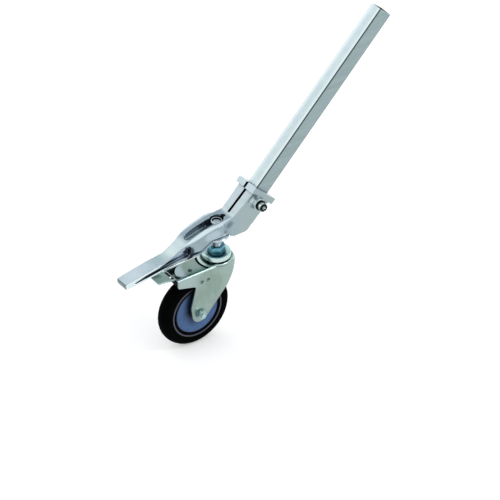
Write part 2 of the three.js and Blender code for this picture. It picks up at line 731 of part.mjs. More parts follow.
// A point given along the leg and up from its centre line, as X and Z
function legPoint(along, up) {
  return [socketX + along * cosLeg - up * sinLeg, socketZ + along * sinLeg + up * cosLeg];
}

// A piece whose X runs along the leg from the floor of the socket
function ontoLeg(manifold) {
  return manifold.rotate([0, -LEG_ANGLE, 0]).translate([socketX, 0, socketZ]);
}

const tubeHalfWidth = TUBE_WIDTH * HALF;
const tubeHalfHeight = TUBE_HEIGHT * HALF;
const flangeBack = SOCKET_DEPTH - FLANGE_THICKNESS;
const screwAlong = SOCKET_DEPTH - SCREW_SETBACK;
const boreHalfWidth = tubeHalfWidth + JOINT_GAP;
const boreHalfHeight = tubeHalfHeight + JOINT_GAP;

function undersideZ(x) {
  const tip = hubTop - TONGUE_FALL - TIP_THICKNESS;
  const bend = hubUnder - UNDERSIDE_BEND_DROP;
  const root = hubUnder - UNDERSIDE_DROP;
  if (x < -UNDERSIDE_BEND_REACH) {
    const share = (x + TONGUE_REACH) / (TONGUE_REACH - UNDERSIDE_BEND_REACH);
    return tip + (bend - tip) * share;
  }
  const share = (x + UNDERSIDE_BEND_REACH) / (UNDERSIDE_BEND_REACH - UNDERSIDE_REACH);
  return bend + (root - bend) * share;
}

// Where the roof of the clamp bends down to the hub top
function clampBend() {
  return legPoint(SOCKET_DEPTH - SPLIT_LENGTH, tubeHalfHeight + CLAMP_ROOF_LOW);
}

function buildHubAndTongue() {
  const tipTop = hubTop - TONGUE_FALL;
  const top = tongueTopShares.map(([along, up], i) => [
    -TONGUE_REACH * (1 - along), tipTop + TONGUE_FALL * up, i === 0 ? TIP_CORNER_RADIUS * 0.6 : TONGUE_FALL,
  ]);
  const neck = HUB_NECK_REACH;
  const [bendX, bendZ] = clampBend();
  const profile = [
    ...top, [neck, hubTop + (bendZ - hubTop) * (neck / bendX)], [neck, hubUnder],
    [-UNDERSIDE_RISE_REACH, hubUnder, UNDERSIDE_DROP],
    [-UNDERSIDE_REACH, undersideZ(-UNDERSIDE_REACH), UNDERSIDE_DROP],
    [-UNDERSIDE_BEND_REACH, undersideZ(-UNDERSIDE_BEND_REACH), UNDERSIDE_BEND_REACH],
    [-TONGUE_REACH + TIP_SLANT, undersideZ(-TONGUE_REACH), TIP_CORNER_RADIUS * 0.6],
  ];
  const rightSide = castPlanShares.map(([along, wide]) => [
    -TONGUE_REACH * (1 - along), -HUB_HALF_WIDTH * wide, HUB_HALF_WIDTH,
  ]);
  const leftSide = rightSide.map(([x, y, radius]) => [x, -y, radius]).reverse();
  const neckHalf = CLAMP_NECK_HALF_WIDTH;
  const plan = [
    [-TONGUE_REACH, -TIP_HALF_WIDTH, TIP_CORNER_RADIUS], ...rightSide, [neck, -neckHalf], [neck, neckHalf],
    ...leftSide, [-TONGUE_REACH, TIP_HALF_WIDTH, TIP_CORNER_RADIUS],
  ];
  return sidePrism(profile, -HUB_HALF_WIDTH * 2, HUB_HALF_WIDTH * 2).intersect(
    planPrism(plan, 0, hubTop + HUB_HEIGHT),
  );
}

// The long hollow in one side of the tongue, down to the given half width of web
function buildHollow(roofShares, webHalf) {
  const start = -TONGUE_REACH + HOLLOW_START;
  const length = TONGUE_REACH - HOLLOW_START - HUB_BULGE_FRONT;
  const floor = (along) => undersideZ(start + length * along) + RAIL_THICKNESS
    + (RAIL_ROOT_THICKNESS - RAIL_THICKNESS) * along;
  const roof = roofShares.map(([along, up]) => [
    start + length * along, floor(along) + HOLLOW_HEIGHT * up, HOLLOW_CORNER_RADIUS,
  ]);
  const first = roofShares[0][0];
  const points = [
    [start + length * first, floor(first)], ...roof, [start + length, floor(1), HOLLOW_CORNER_RADIUS],
  ];
  return sidePrism(points, -HUB_HALF_WIDTH * 2, -webHalf);
}

// The space beside the rail, under the bulge of the hub
function buildUnderBulge() {
  const edge = bulgeFloorShares.map(([along, up]) => [
    -HUB_BULGE_FRONT * (1 - along), hubUnder + HUB_HEIGHT * up, BULGE_EDGE_RADIUS,
  ]);
  const deep = hubUnder - HUB_HEIGHT;
  const first = edge[0][0];
  const last = edge[edge.length - 1][0];
  const points = [[first, deep], ...edge, [last, deep]];
  return sidePrism(points, -HUB_HALF_WIDTH * 2, -HUB_RAIL_HALF_WIDTH);
}

function buildClamp() {
  const roof = tubeHalfHeight + CLAMP_ROOF;
  const under = -tubeHalfHeight - CLAMP_FLOOR;
  const heelAlong = (hubUnder - socketZ - under * cosLeg) / sinLeg;
  const bendAlong = SOCKET_DEPTH - SPLIT_LENGTH;
  const profile = [
    legPoint(flangeBack + FLANGE_THICKNESS * HALF, roof), [...clampBend(), CLAMP_HEEL_RADIUS],
    [0, hubTop], [0, hubUnder], [...legPoint(heelAlong, under), CLAMP_HEEL_RADIUS],
    legPoint(flangeBack + FLANGE_THICKNESS * HALF, under),
  ];
  const far = TONGUE_REACH;
  const wide = CLAMP_HALF_WIDTH;
  const narrow = CLAMP_NECK_HALF_WIDTH;
  const plan = [
    [-far, -narrow], [bendAlong, -narrow, far], [flangeBack, -wide], [SOCKET_DEPTH, -wide],
    [SOCKET_DEPTH, wide], [flangeBack, wide], [bendAlong, narrow, far], [-far, narrow],
  ];
  return sidePrism(profile, -HUB_HALF_WIDTH, HUB_HALF_WIDTH).intersect(
    ontoLeg(planPrism(plan, -far, far)),
  );
}

function buildFlange() {
  const half = FLANGE_WIDTH * HALF;
  const low = FLANGE_OFFSET - FLANGE_HEIGHT * HALF;
  const high = FLANGE_OFFSET + FLANGE_HEIGHT * HALF;
  const r = FLANGE_CORNER_RADIUS;
  const geometry = prism(roundedShape([
    [-half, low, r], [half, low, r], [half, high, r], [-half, high, r],
  ]), FLANGE_THICKNESS);
  geometry.rotateX(90 * DEGREE);
  geometry.rotateZ(90 * DEGREE);
  geometry.translate(flangeBack, 0, 0);
  return ontoLeg(solid(geometry));
}

function legBox(a0, a1, y0, y1, b0, b1) {
  return ontoLeg(box(a0, a1, y0, y1, b0, b1));
}

function onScrewAxis(manifold) {
  const [x, z] = legPoint(screwAlong, SCREW_RISE);
  return toNear(manifold).translate([x, 0, z]);
}

const bossFace = CLAMP_HALF_WIDTH + BOSS_HEIGHT;
const screwTip = -CLAMP_HALF_WIDTH + SCREW_FAR_COVER;

function buildSlot() {
  const half = SLOT_HALF_WIDTH;
  const front = -SLOT_REACH;
  const end = arcPoints(front + half, 0, half, 90, 270, 10);
  const root = SLOT_ROOT_HALF_WIDTH;
  const longPlan = [[0, -root], [0, root], ...end];
  // The floor of the shallow part follows the slope of the top
  const slopeX = TONGUE_REACH * (1 - tongueTopShares[4][0]);
  const slopeZ = hubTop - TONGUE_FALL * (1 - tongueTopShares[4][1]) - SLOT_DEPTH;
  const above = hubTop + HUB_HEIGHT;
  const floor = [
    [-SLOT_REACH - half, slopeZ - SLOT_DEPTH * HALF], [-slopeX, slopeZ, SLOT_DEPTH], [0, hubTop - SLOT_DEPTH],
    [0, above], [-SLOT_REACH - half, above],
  ];
  const shallow = planPrism(longPlan, 0, above).intersect(sidePrism(floor, -half * 2, half * 2));
  let deep = planPrism([
    [-SLOT_DEEP_REACH, -half], [0, -root], [0, root], [-SLOT_DEEP_REACH, half],
  ], hubTop - SLOT_DEEP_DEPTH, above);
  for (let i = 0; i < SLOT_RIB_COUNT; i += 1) {
    const x = -SLOT_DEEP_REACH + SLOT_RIB_PITCH * (i + HALF);
    const z = hubTop - SLOT_DEEP_DEPTH;
    deep = cut(deep, box(x, x + SLOT_RIB_WIDTH, -half * 2, half * 2, z - half, z + SLOT_RIB_HEIGHT));
  }
  const tail = planPrism([
    [0, -SLOT_TAIL_HALF_WIDTH], [SLOT_TAIL_REACH, -SLOT_TAIL_HALF_WIDTH, SLOT_TAIL_HALF_WIDTH],
    [SLOT_TAIL_REACH, SLOT_TAIL_HALF_WIDTH, SLOT_TAIL_HALF_WIDTH], [0, SLOT_TAIL_HALF_WIDTH],
  ], hubTop - SLOT_DEEP_DEPTH, above);
  const pocket = rod(NUT_POCKET_RADIUS, hubTop - SLOT_DEEP_DEPTH, above);
  return unite(shallow, deep, tail, pocket);
}

function buildFoot() {
  const boss = onScrewAxis(turned([
    [0, 0], [BOSS_BASE_RADIUS, 0], [BOSS_BASE_RADIUS, CLAMP_NECK_HALF_WIDTH],
    [BOSS_RADIUS, bossFace - BOSS_HEIGHT * 0.2], [BOSS_RADIUS, bossFace], [0, bossFace],
  ]));
  let body = unite(buildHubAndTongue(), buildClamp(), buildFlange(), boss);
  const hollow = unite(
    buildHollow(hollowRoofShares, CAST_WEB_HALF),
    buildHollow(hollowShoulderShares, SLOT_HALF_WIDTH + HOLLOW_SLOT_WALL),
  );
  const underBulge = buildUnderBulge();
  body = cut(body, hollow, mirrorY(hollow), underBulge, mirrorY(underBulge));
  const bore = legBox(0, SOCKET_DEPTH * 2, -boreHalfWidth, boreHalfWidth, -boreHalfHeight, boreHalfHeight);
  const splitLow = SOCKET_DEPTH - SPLIT_LENGTH;
  const split = legBox(
    splitLow, SOCKET_DEPTH * 2, -SPLIT_WIDTH * HALF, SPLIT_WIDTH * HALF, boreHalfHeight * HALF, FLANGE_HEIGHT,
  );
  const screwHole = onScrewAxis(rod(SCREW_RADIUS + JOINT_GAP, screwTip - JOINT_GAP, FLANGE_WIDTH));
  const stemHole = rod(STEM_RADIUS + JOINT_GAP, hubUnder - HUB_HEIGHT, hubTop);
  const spot = rod(HUB_SPOT_RADIUS, hubUnder - HUB_HEIGHT, spotZ, FINE_STEPS);
  return cut(body, bore, split, screwHole, stemHole, spot, buildSlot());
}

function roundedRectangle(halfWidth, halfHeight, r) {
  return roundedShape([
    [-halfWidth, -halfHeight, r], [halfWidth, -halfHeight, r], [halfWidth, halfHeight, r],
    [-halfWidth, halfHeight, r],
  ]);
}

function buildTube() {
  const inner = roundedRectangle(
    tubeHalfWidth - TUBE_WALL, tubeHalfHeight - TUBE_WALL, TUBE_CORNER_RADIUS - TUBE_WALL * HALF,
  );
  const geometry = prism(
    roundedRectangle(tubeHalfWidth, tubeHalfHeight, TUBE_CORNER_RADIUS), TUBE_LENGTH - JOINT_GAP, [inner],
  );
  geometry.rotateX(90 * DEGREE);
  geometry.rotateZ(90 * DEGREE);
  geometry.translate(JOINT_GAP, 0, 0);
  const hole = onScrewAxis(rod(SCREW_RADIUS + JOINT_GAP, -FLANGE_WIDTH, FLANGE_WIDTH));
  return cut(ontoLeg(solid(geometry)), hole);
}

function buildScrew() {
  const under = bossFace + SCREW_WASHER_THICKNESS + JOINT_GAP * 2;
  const top = under + SCREW_HEAD_HEIGHT;
  const edge = SCREW_HEAD_EDGE;
  const body = turned([
    [0, screwTip], [SCREW_RADIUS - edge, screwTip], [SCREW_RADIUS, screwTip + edge], [SCREW_RADIUS, under],
    [SCREW_HEAD_RADIUS, under], [SCREW_HEAD_RADIUS, top - edge], [SCREW_HEAD_RADIUS - edge, top], [0, top],
  ]);
  const socket = hexagon(SCREW_SOCKET_FLATS, top - SCREW_SOCKET_DEPTH, top + SCREW_HEAD_HEIGHT);
  return onScrewAxis(cut(body, socket));
}

// Brake. The barrel rolls under the crown, with the leaf between them.
const barrelRadius = PIN_RADIUS + JOINT_GAP + BARREL_WALL;
const pinZ = crownUnder - BARREL_HEADROOM - barrelRadius;
const pedalLevel = crownTop - PEDAL_LEVEL_DROP - PEDAL_SHEET;

const pedalKneeX = PEDAL_STEP_TOP + (PEDAL_REACH - PEDAL_STEP_TOP) * PEDAL_KNEE_SHARE;
const pedalStepZ = pedalLevel + PEDAL_STEP_RISE;
const pedalKneeZ = pedalStepZ + PEDAL_KNEE_RISE;
const pedalEndZ = pedalKneeZ + PEDAL_END_RISE;

function buildPedal() {
  const t = PEDAL_SHEET;
  const r = t * 2;
  const top = pedalLevel;
  const plate = [
    [-PIN_REACH, top], [-PEDAL_STEP_FOOT, top, r], [-PEDAL_STEP_TOP, pedalStepZ, r],
    [-pedalKneeX, pedalKneeZ, PEDAL_REACH], [-PEDAL_REACH, pedalEndZ, t * 0.3],
    [-PEDAL_REACH + t * 0.1, pedalEndZ - t, t * 0.3], [-pedalKneeX, pedalKneeZ - t, PEDAL_REACH],
    [-PEDAL_STEP_TOP + t * 0.4, pedalStepZ - t, r], [-PEDAL_STEP_FOOT + t * 0.4, top - t, r],
    [-PIN_REACH, top - t],
  ];
  const wide = PEDAL_HALF_WIDTH;
  const neck = PEDAL_NECK_HALF_WIDTH;
  const plan = [
    [-PEDAL_REACH, -wide, t], [-PEDAL_STEP_TOP, -wide, r], [-PEDAL_STEP_FOOT, -neck, r], [-PIN_REACH, -neck],
    [-PIN_REACH, neck], [-PEDAL_STEP_FOOT, neck, r], [-PEDAL_STEP_TOP, wide, r], [-PEDAL_REACH, wide, t],
  ];
  const strap = sidePrism(plate, -wide * 2, wide * 2).intersect(
    planPrism(plan, top - PEDAL_REACH, top + PEDAL_REACH),
  );
  const barrel = toNear(rod(barrelRadius, -neck, neck)).translate([-PIN_REACH, 0, pinZ]);
  const hole = toNear(rod(PIN_RADIUS + JOINT_GAP, -wide * 2, wide * 2)).translate([-PIN_REACH, 0, pinZ]);
  const slot = box(
    -PEDAL_SLOT_REACH, -PEDAL_SLOT_REACH + PEDAL_SLOT_LENGTH, -PEDAL_SLOT_HALF, PEDAL_SLOT_HALF,
    top - PEDAL_REACH, top + PEDAL_REACH,
  );
  return cut(unite(strap, barrel), hole, slot);
}

function buildShoe() {
  const under = pedalLevel - PEDAL_SHEET - JOINT_GAP;
  const half = SHOE_LENGTH * HALF;
  const block = box(-SHOE_CENTRE - half, -SHOE_CENTRE + half, -SHOE_HALF_WIDTH, SHOE_HALF_WIDTH,
    under - FORK_CROWN_GAP * 1.5, under);
  // The tyre as the shoe meets it with the pedal pressed
  const tyre = toNear(rod(wheelRadius + JOINT_GAP, -FORK_WIDTH, FORK_WIDTH, FINE_STEPS * 2))
    .translate([axleX + PIN_REACH, 0, axleZ - pinZ]).rotate([0, PEDAL_TURN, 0])
    .translate([-PIN_REACH, 0, pinZ]);
  return cut(block, tyre);
}

function buildLeaf() {
  const top = crownUnder - JOINT_GAP * HALF;
  const body = box(-LEAF_FRONT, -LEAF_BACK, -LEAF_HALF_WIDTH, LEAF_HALF_WIDTH, top - LEAF_THICKNESS, top);
  const hole = rod(RIVET_RADIUS + JOINT_GAP, top - FORK_SHEET, top + FORK_SHEET)
    .translate([-RIVET_REACH, -RIVET_SIDE, 0]);
  return cut(body, hole);
}

function buildRivet() {
  const low = crownUnder - JOINT_GAP * 1.5 - LEAF_THICKNESS;
  const head = crownTop + JOINT_GAP * HALF;
  const headTop = head + RIVET_HEAD_HEIGHT;
  const body = turned([
    [0, low - RIVET_HEAD_HEIGHT], [RIVET_HEAD_RADIUS * 0.8, low - RIVET_HEAD_HEIGHT],
    [RIVET_HEAD_RADIUS * 0.8, low], [RIVET_RADIUS, low], [RIVET_RADIUS, head], [RIVET_HEAD_RADIUS, head],
    [RIVET_HEAD_RADIUS * 0.75, headTop], [RIVET_PIT_RADIUS, headTop],
    [RIVET_PIT_RADIUS, headTop - RIVET_PIT_DEPTH], [0, headTop - RIVET_PIT_DEPTH],
  ], 24);
  return body.translate([-RIVET_REACH, -RIVET_SIDE, 0]);
}

// Axle hardware
const nearFace = forkHalf + JOINT_GAP;
const washerOut = nearFace + AXLE_WASHER_THICKNESS;

function buildAxleBolt() {
  const headIn = -washerOut - JOINT_GAP;
  const tip = washerOut + JOINT_GAP + AXLE_NUT_HEIGHT + AXLE_THREAD_OUT;
  const head = hexagon(AXLE_HEAD_FLATS, headIn - AXLE_HEAD_HEIGHT, headIn, AXLE_HEAD_HEIGHT * 0.18);
  const edge = AXLE_THREAD_OUT * HALF;
  const shank = turned([
    [0, headIn - AXLE_HEAD_HEIGHT * HALF], [AXLE_RADIUS, headIn - AXLE_HEAD_HEIGHT * HALF],
    [AXLE_RADIUS, tip - edge], [AXLE_RADIUS - edge, tip], [0, tip],
  ]);
  return ontoAxle(unite(head, shank));
}

function buildAxleNut() {
  const low = washerOut + JOINT_GAP;
  const high = low + AXLE_NUT_HEIGHT - AXLE_NUT_COLLAR;
  const body = hexagon(AXLE_HEAD_FLATS, low, high, AXLE_NUT_HEIGHT * 0.12);
  const collar = rod(AXLE_HEAD_FLATS * 0.42, low, high + AXLE_NUT_COLLAR);
  return ontoAxle(cut(unite(body, collar), rod(AXLE_RADIUS + JOINT_GAP, 0, high * 2)));
}

function buildAxleWasher() {
  return ring(AXLE_RADIUS + JOINT_GAP, AXLE_WASHER_RADIUS, nearFace, washerOut);
}

const bright = 0xc9d6dc;
const cast = 0xd3dee3;
const zinc = 0xa9bfb8;
const zincDark = 0x8fa8a4;

piece('leg_tube', buildTube(), bright, 0.22, 0.9);
piece('cast_foot', buildFoot(), cast, 0.28, 0.85);
piece('clamp_screw', buildScrew(), zinc, 0.3, 0.9);
piece('clamp_washer', onScrewAxis(ring(SCREW_RADIUS + JOINT_GAP, SCREW_WASHER_RADIUS, bossFace + JOINT_GAP,
  bossFace + JOINT_GAP + SCREW_WASHER_THICKNESS)), zinc, 0.3, 0.9);
piece('caster_stem', buildStem(), bright, 0.3, 0.9);
piece('stem_ring_nut', turned([
  [RING_NUT_BORE, ringNutZ], [RING_NUT_RADIUS, ringNutZ], [RING_NUT_RADIUS, ringNutTop - RING_NUT_EDGE],
  [RING_NUT_RADIUS - RING_NUT_EDGE, ringNutTop], [RING_NUT_BORE + RING_NUT_EDGE * HALF, ringNutTop],
  [RING_NUT_BORE, ringNutTop - RING_NUT_EDGE], [RING_NUT_BORE, ringNutZ],
]), bright, 0.25, 0.9);
piece('stem_washer', turned([
  [STEM_RADIUS + JOINT_GAP, washerZ], [STEM_WASHER_RADIUS - STEM_WASHER_EDGE, washerZ],
  [STEM_WASHER_RADIUS, washerZ + STEM_WASHER_EDGE], [STEM_WASHER_RADIUS, washerTop - STEM_WASHER_EDGE],
  [STEM_WASHER_RADIUS - STEM_WASHER_EDGE, washerTop], [STEM_RADIUS + JOINT_GAP, washerTop],
  [STEM_RADIUS + JOINT_GAP, washerZ],
], FINE_STEPS), bright, 0.25, 0.9);
piece('lock_nut', cut(
  hexagon(LOCK_NUT_FLATS, lockNutZ, lockNutTop, LOCK_NUT_CHAMFER).rotate([0, 0, LOCK_NUT_TURN]),
  rod(STEM_RADIUS + JOINT_GAP, lockNutZ - LOCK_NUT_HEIGHT, lockNutTop + LOCK_NUT_HEIGHT),
), 0x5f8f98, 0.3, 0.85);
piece('upper_race', buildUpperRace(), zinc, 0.28, 0.9);
piece('lower_race', buildLowerRace(), zincDark, 0.35, 0.9);
piece('upper_ball_ring', ballRing(BALL_CIRCLE_RADIUS, BALL_RADIUS, upperBallZ), 0x555a5c, 0.3, 0.9);
piece('lower_ball_ring', ballRing(LOWER_BALL_CIRCLE, LOWER_BALL_RADIUS, lowerBallZ), 0x555a5c, 0.3, 0.9);
piece('fork', buildFork(), zinc, 0.3, 0.85);
piece('pedal_pin', toNear(rod(PIN_RADIUS, -forkInner - PIN_SEAT + JOINT_GAP, forkInner + PIN_SEAT - JOINT_GAP,
  28)).translate([-PIN_REACH, 0, pinZ]), zincDark, 0.3, 0.9);
piece('leaf_spring', buildLeaf(), 0x6b7274, 0.35, 0.9);
piece('leaf_rivet', buildRivet(), zincDark, 0.35, 0.9);
piece('brake_pedal', buildPedal(), zincDark, 0.32, 0.85);
piece('brake_shoe', buildShoe(), 0x1d1f20, 0.7, 0.1);
piece('axle_bolt', buildAxleBolt(), zinc, 0.3, 0.9);
piece('axle_nut', buildAxleNut(), zincDark, 0.3, 0.9);
piece('axle_washer_near', ontoAxle(buildAxleWasher()), zinc, 0.3, 0.9);
piece('axle_washer_far', mirrorY(ontoAxle(buildAxleWasher())), zinc, 0.3, 0.9);
piece('axle_sleeve', ontoAxle(ring(AXLE_RADIUS + JOINT_GAP, AXLE_RADIUS + SLEEVE_WALL, -forkInner + JOINT_GAP,
  forkInner - JOINT_GAP)), zinc, 0.35, 0.9);
piece('wheel_core', buildCore(), 0x7c7f8a, 0.5, 0.05);
piece('tyre', buildTyre(), 0x0b0b0d, 0.6, 0);
piece('cover_near', ontoAxle(buildCover()), 0x4a5f8c, 0.45, 0.05);
piece('cover_far', mirrorY(ontoAxle(buildCover())), 0x4a5f8c, 0.45, 0.05);
piece('bearing_near', ontoAxle(buildBearing()), 0x9aa3a6, 0.3, 0.9);
piece('bearing_far', mirrorY(ontoAxle(buildBearing())), 0x9aa3a6, 0.3, 0.9);

// The origin lies at the centre of the open upper end of the tube, where the stand holds the leg
const [endX, endZ] = legPoint(TUBE_LENGTH, 0);
const group = new THREE.Group();
group.name = 'roller_stand_leg_end';
parts.forEach(({ name, manifold, colour, roughness, metalness }) => {
  const placed = manifold.translate([-endX, 0, -endZ]);
  const material = new THREE.MeshStandardMaterial({ color: colour, roughness, metalness });
  const mesh = new THREE.Mesh(toGeometry(placed), material);
  mesh.name = name;
  group.add(mesh);
});

export default group;
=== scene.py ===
import math
from collections import namedtuple

import bmesh
import bpy
from mathutils import Matrix, Vector


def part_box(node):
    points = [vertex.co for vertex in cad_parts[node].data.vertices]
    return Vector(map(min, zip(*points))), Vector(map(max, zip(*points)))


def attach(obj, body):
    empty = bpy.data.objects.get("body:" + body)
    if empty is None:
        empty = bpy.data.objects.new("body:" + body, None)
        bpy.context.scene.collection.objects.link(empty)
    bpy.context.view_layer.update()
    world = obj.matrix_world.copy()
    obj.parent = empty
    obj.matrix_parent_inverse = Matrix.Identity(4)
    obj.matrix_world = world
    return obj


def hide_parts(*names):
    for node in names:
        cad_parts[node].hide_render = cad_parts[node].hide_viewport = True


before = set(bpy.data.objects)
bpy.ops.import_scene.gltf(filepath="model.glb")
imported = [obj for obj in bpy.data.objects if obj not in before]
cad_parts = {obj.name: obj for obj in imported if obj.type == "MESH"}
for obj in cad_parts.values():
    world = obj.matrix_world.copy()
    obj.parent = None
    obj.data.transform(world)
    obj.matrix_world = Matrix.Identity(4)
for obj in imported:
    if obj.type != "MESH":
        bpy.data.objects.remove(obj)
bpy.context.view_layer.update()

MM = 0.001

# Places from the model, in metres: wheel axle, stem axis and floor
tyre_low, tyre_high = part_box("tyre")
AXLE = (tyre_low + tyre_high) / 2
stem_low, stem_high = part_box("caster_stem")
STEM_X = (stem_low.x + stem_high.x) / 2
FLOOR_Z = tyre_low.z

# Axes in mm: the axle and the clamp screw lie along Y and are given by X and Z, the stem lies
# along Z and is given by X and Y
AXLE_MM = (-351.97, -417.34)
SCREW_MM = (-246.24, -251.02)
STEM_MM = (-307.57, 0.0)

# Directions of the leg
LEG_ANGLE = math.radians(46.3)
LEG_TURN = (0.0, LEG_ANGLE, 0.0)
LEG_UP = (-math.sin(LEG_ANGLE), 0.0, math.cos(LEG_ANGLE))
LEG_ALONG = (math.cos(LEG_ANGLE), 0.0, math.sin(LEG_ANGLE))

# Camera: long lens, 35 degrees round to the near left, 36 degrees up
RIGHT = Vector((0.8192, -0.5736, 0.0))
UP = Vector((0.3371, 0.4815, 0.8090))
BACK = Vector((-0.4640, -0.6627, 0.5878)).normalized()
AIM_RIGHT_MM = 87.7
AIM_UP_MM = 87.6
LENS_MM = 1000.0
SENSOR_MM = 36.0
PICTURE_WIDTH = 0.7669
CLIP_NEAR, CLIP_FAR = 1.0, 100.0


def new_object(name, data):
    made = bpy.data.objects.new(name, data)
    bpy.context.scene.collection.objects.link(made)
    return made


def make_camera():
    data = bpy.data.cameras.new("camera")
    data.lens = LENS_MM
    data.sensor_width = SENSOR_MM
    data.clip_start = CLIP_NEAR
    data.clip_end = CLIP_FAR
    cam = new_object("camera", data)
    aim = AXLE + RIGHT * AIM_RIGHT_MM * MM + UP * AIM_UP_MM * MM
    cam.location = aim + BACK * (PICTURE_WIDTH * LENS_MM / SENSOR_MM)
    cam.rotation_mode = "QUATERNION"
    cam.rotation_quaternion = (-BACK).to_track_quat("-Z", "Y")
    bpy.context.scene.camera = cam


make_camera()


def srgb(r, g, b):
    """Linear colour of a screen colour from 0 to 255"""
    def lin(v):
        v /= 255.0
        return v / 12.92 if v <= 0.04045 else ((v + 0.055) / 1.055) ** 2.4
    return (lin(r), lin(g), lin(b))


# Places on a surface. A place is where all its steps are 1. A step is the name of another place,
# a spot, or (measure, where it is 0, where it is 1), in mm or as a part of the normal. The place
# has a colour, or two that fade into each other along one more step, and the share in which the
# colour is laid on.
Place = namedtuple("Place", "steps colour share fade", defaults=(None, 1.0, None))
# A spot is an ellipse seen from the side: its middle, its reach along X and Z in mm, and how
# ragged its edge is
Spot = namedtuple("Spot", "x z wide high ragged", defaults=(0.0,))

# What a step can measure, beside x, y and z of a point in mm and nx, ny and nz of its normal
MEASURES = {
    "off_middle": lambda n: n.math("ABSOLUTE", n.y),
    "faces_end": lambda n: n.math("ABSOLUTE", n.nx),
    "faces_side": lambda n: n.math("ABSOLUTE", n.ny),
    "faces_level": lambda n: n.math("ABSOLUTE", n.nz),
    "faces_broad": lambda n: n.math("ABSOLUTE", n.along(n.normal, LEG_UP)),
    "along_leg": lambda n: n.along(n.mm, LEG_ALONG),
    "from_axle": lambda n: n.distance(n.x, n.z, AXLE_MM),
    "from_screw": lambda n: n.distance(n.x, n.z, SCREW_MM),
    "from_stem": lambda n: n.distance(n.x, n.y, STEM_MM),
}

WHITE = (1.0, 1.0, 1.0)
# Detail and roughness of a noise, and its distortion where it has one
METAL_CLOUD = (3.0, 0.6, 0.4)
PLASTIC_CLOUD = (4.0, 0.6, 0.5)
SKIN = (3.0, 0.6)
GRAIN = (3.0, 0.65)
RAGGED = (4.0, 0.65)
# Middle values of a noise, and those that part the tints of a cloud
NOISE_SPAN = (0.3, 0.7)
CLOUD_SPAN = (0.35, 0.65)
# Edge of a spot, from outside to inside, by the square of the distance in reaches
SPOT_EDGE = (1.3, 0.45)
RAGGED_EDGE = (1.6, 0.1)
RAGGED_PER_MM = 0.3
# How well a rounded normal fits the true one on an edge and on flat ground
EDGE_SPAN = (0.7, 0.98)
# How open the sky is over a deep corner and over open ground
SKY_SPAN = (0.25, 0.85)
EDGE_SAMPLES = 4
SKY_SAMPLES = 6


class Graph:
    """Node tree with short calls for its nodes"""

    def __init__(self, tree, output):
        self.tree = tree
        self.tree.nodes.clear()
        self.out = self.add(output)

    def add(self, kind, **props):
        node = self.tree.nodes.new(kind)
        for key, value in props.items():
            setattr(node, key, value)
        return node

    def link(self, a, b):
        self.tree.links.new(a, b)

    def put(self, socket, value):
        if isinstance(value, bpy.types.NodeSocket):
            self.link(value, socket)
        else:
            socket.default_value = value

    def output(self, kind, **values):
        """First output of a node whose named sockets are set"""
        node = self.add(kind)
        for key, value in values.items():
            self.put(node.inputs[key], value)
        return node.outputs[0]

    def join(self, kind, *parts):
        """First output of a node whose sockets are linked in their order"""
        node = self.add(kind)
        for part, socket in zip(parts, node.inputs):
            self.link(part, socket)
        return node.outputs[0]

    def along(self, vector, direction):
        """Part of a vector that lies along a direction"""
        node = self.add("ShaderNodeVectorMath", operation="DOT_PRODUCT")
        self.put(node.inputs[0], vector)
        self.put(node.inputs[1], direction)
        return node.outputs["Value"]

    def math(self, operation, a, b=0.0, c=0.0, clamp=False):
        node = self.add("ShaderNodeMath", operation=operation, use_clamp=clamp)
        for socket, value in zip(node.inputs, (a, b, c)):
            self.put(socket, value)
        return node.outputs[0]

    def product(self, first, *others):
        for other in others:
            first = self.math("MULTIPLY", first, other)
        return first

    def spread(self, value, low, high, to_low, to_high):
        """Straight line from to_low at low to to_high at high, level beyond them"""
        node = self.add("ShaderNodeMapRange", clamp=True)
        self.put(node.inputs["Value"], value)
        node.inputs["From Min"].default_value = low
        node.inputs["From Max"].default_value = high
        node.inputs["To Min"].default_value = to_low
        node.inputs["To Max"].default_value = to_high
        return node.outputs["Result"]

    def step(self, value, low, high):
        """0 at low, 1 at high, smooth between; low may be the greater"""
        node = self.add("ShaderNodeMapRange", interpolation_type="SMOOTHSTEP", clamp=True)
        self.put(node.inputs["Value"], value)
        node.inputs["From Min"].default_value = low
        node.inputs["From Max"].default_value = high
        return node.outputs["Result"]

    def ramp(self, value, stops):
        node = self.add("ShaderNodeValToRGB")
        self.put(node.inputs["Fac"], value)
        ramp = node.color_ramp
        while len(ramp.elements) < len(stops):
            ramp.elements.new(0.5)
        for element, (place, colour) in zip(ramp.elements, stops):
            element.position = place
            element.color = (*colour, 1.0)
        return node.outputs["Color"]

    def seen(self):
        """1 for what the camera, a gloss or a glass looks at, 0 for what lights the object"""
        path = self.add("ShaderNodeLightPath")
        first = self.math("ADD", path.outputs["Is Camera Ray"], path.outputs["Is Glossy Ray"])
        return self.math("ADD", first, path.outputs["Is Transmission Ray"], clamp=True)


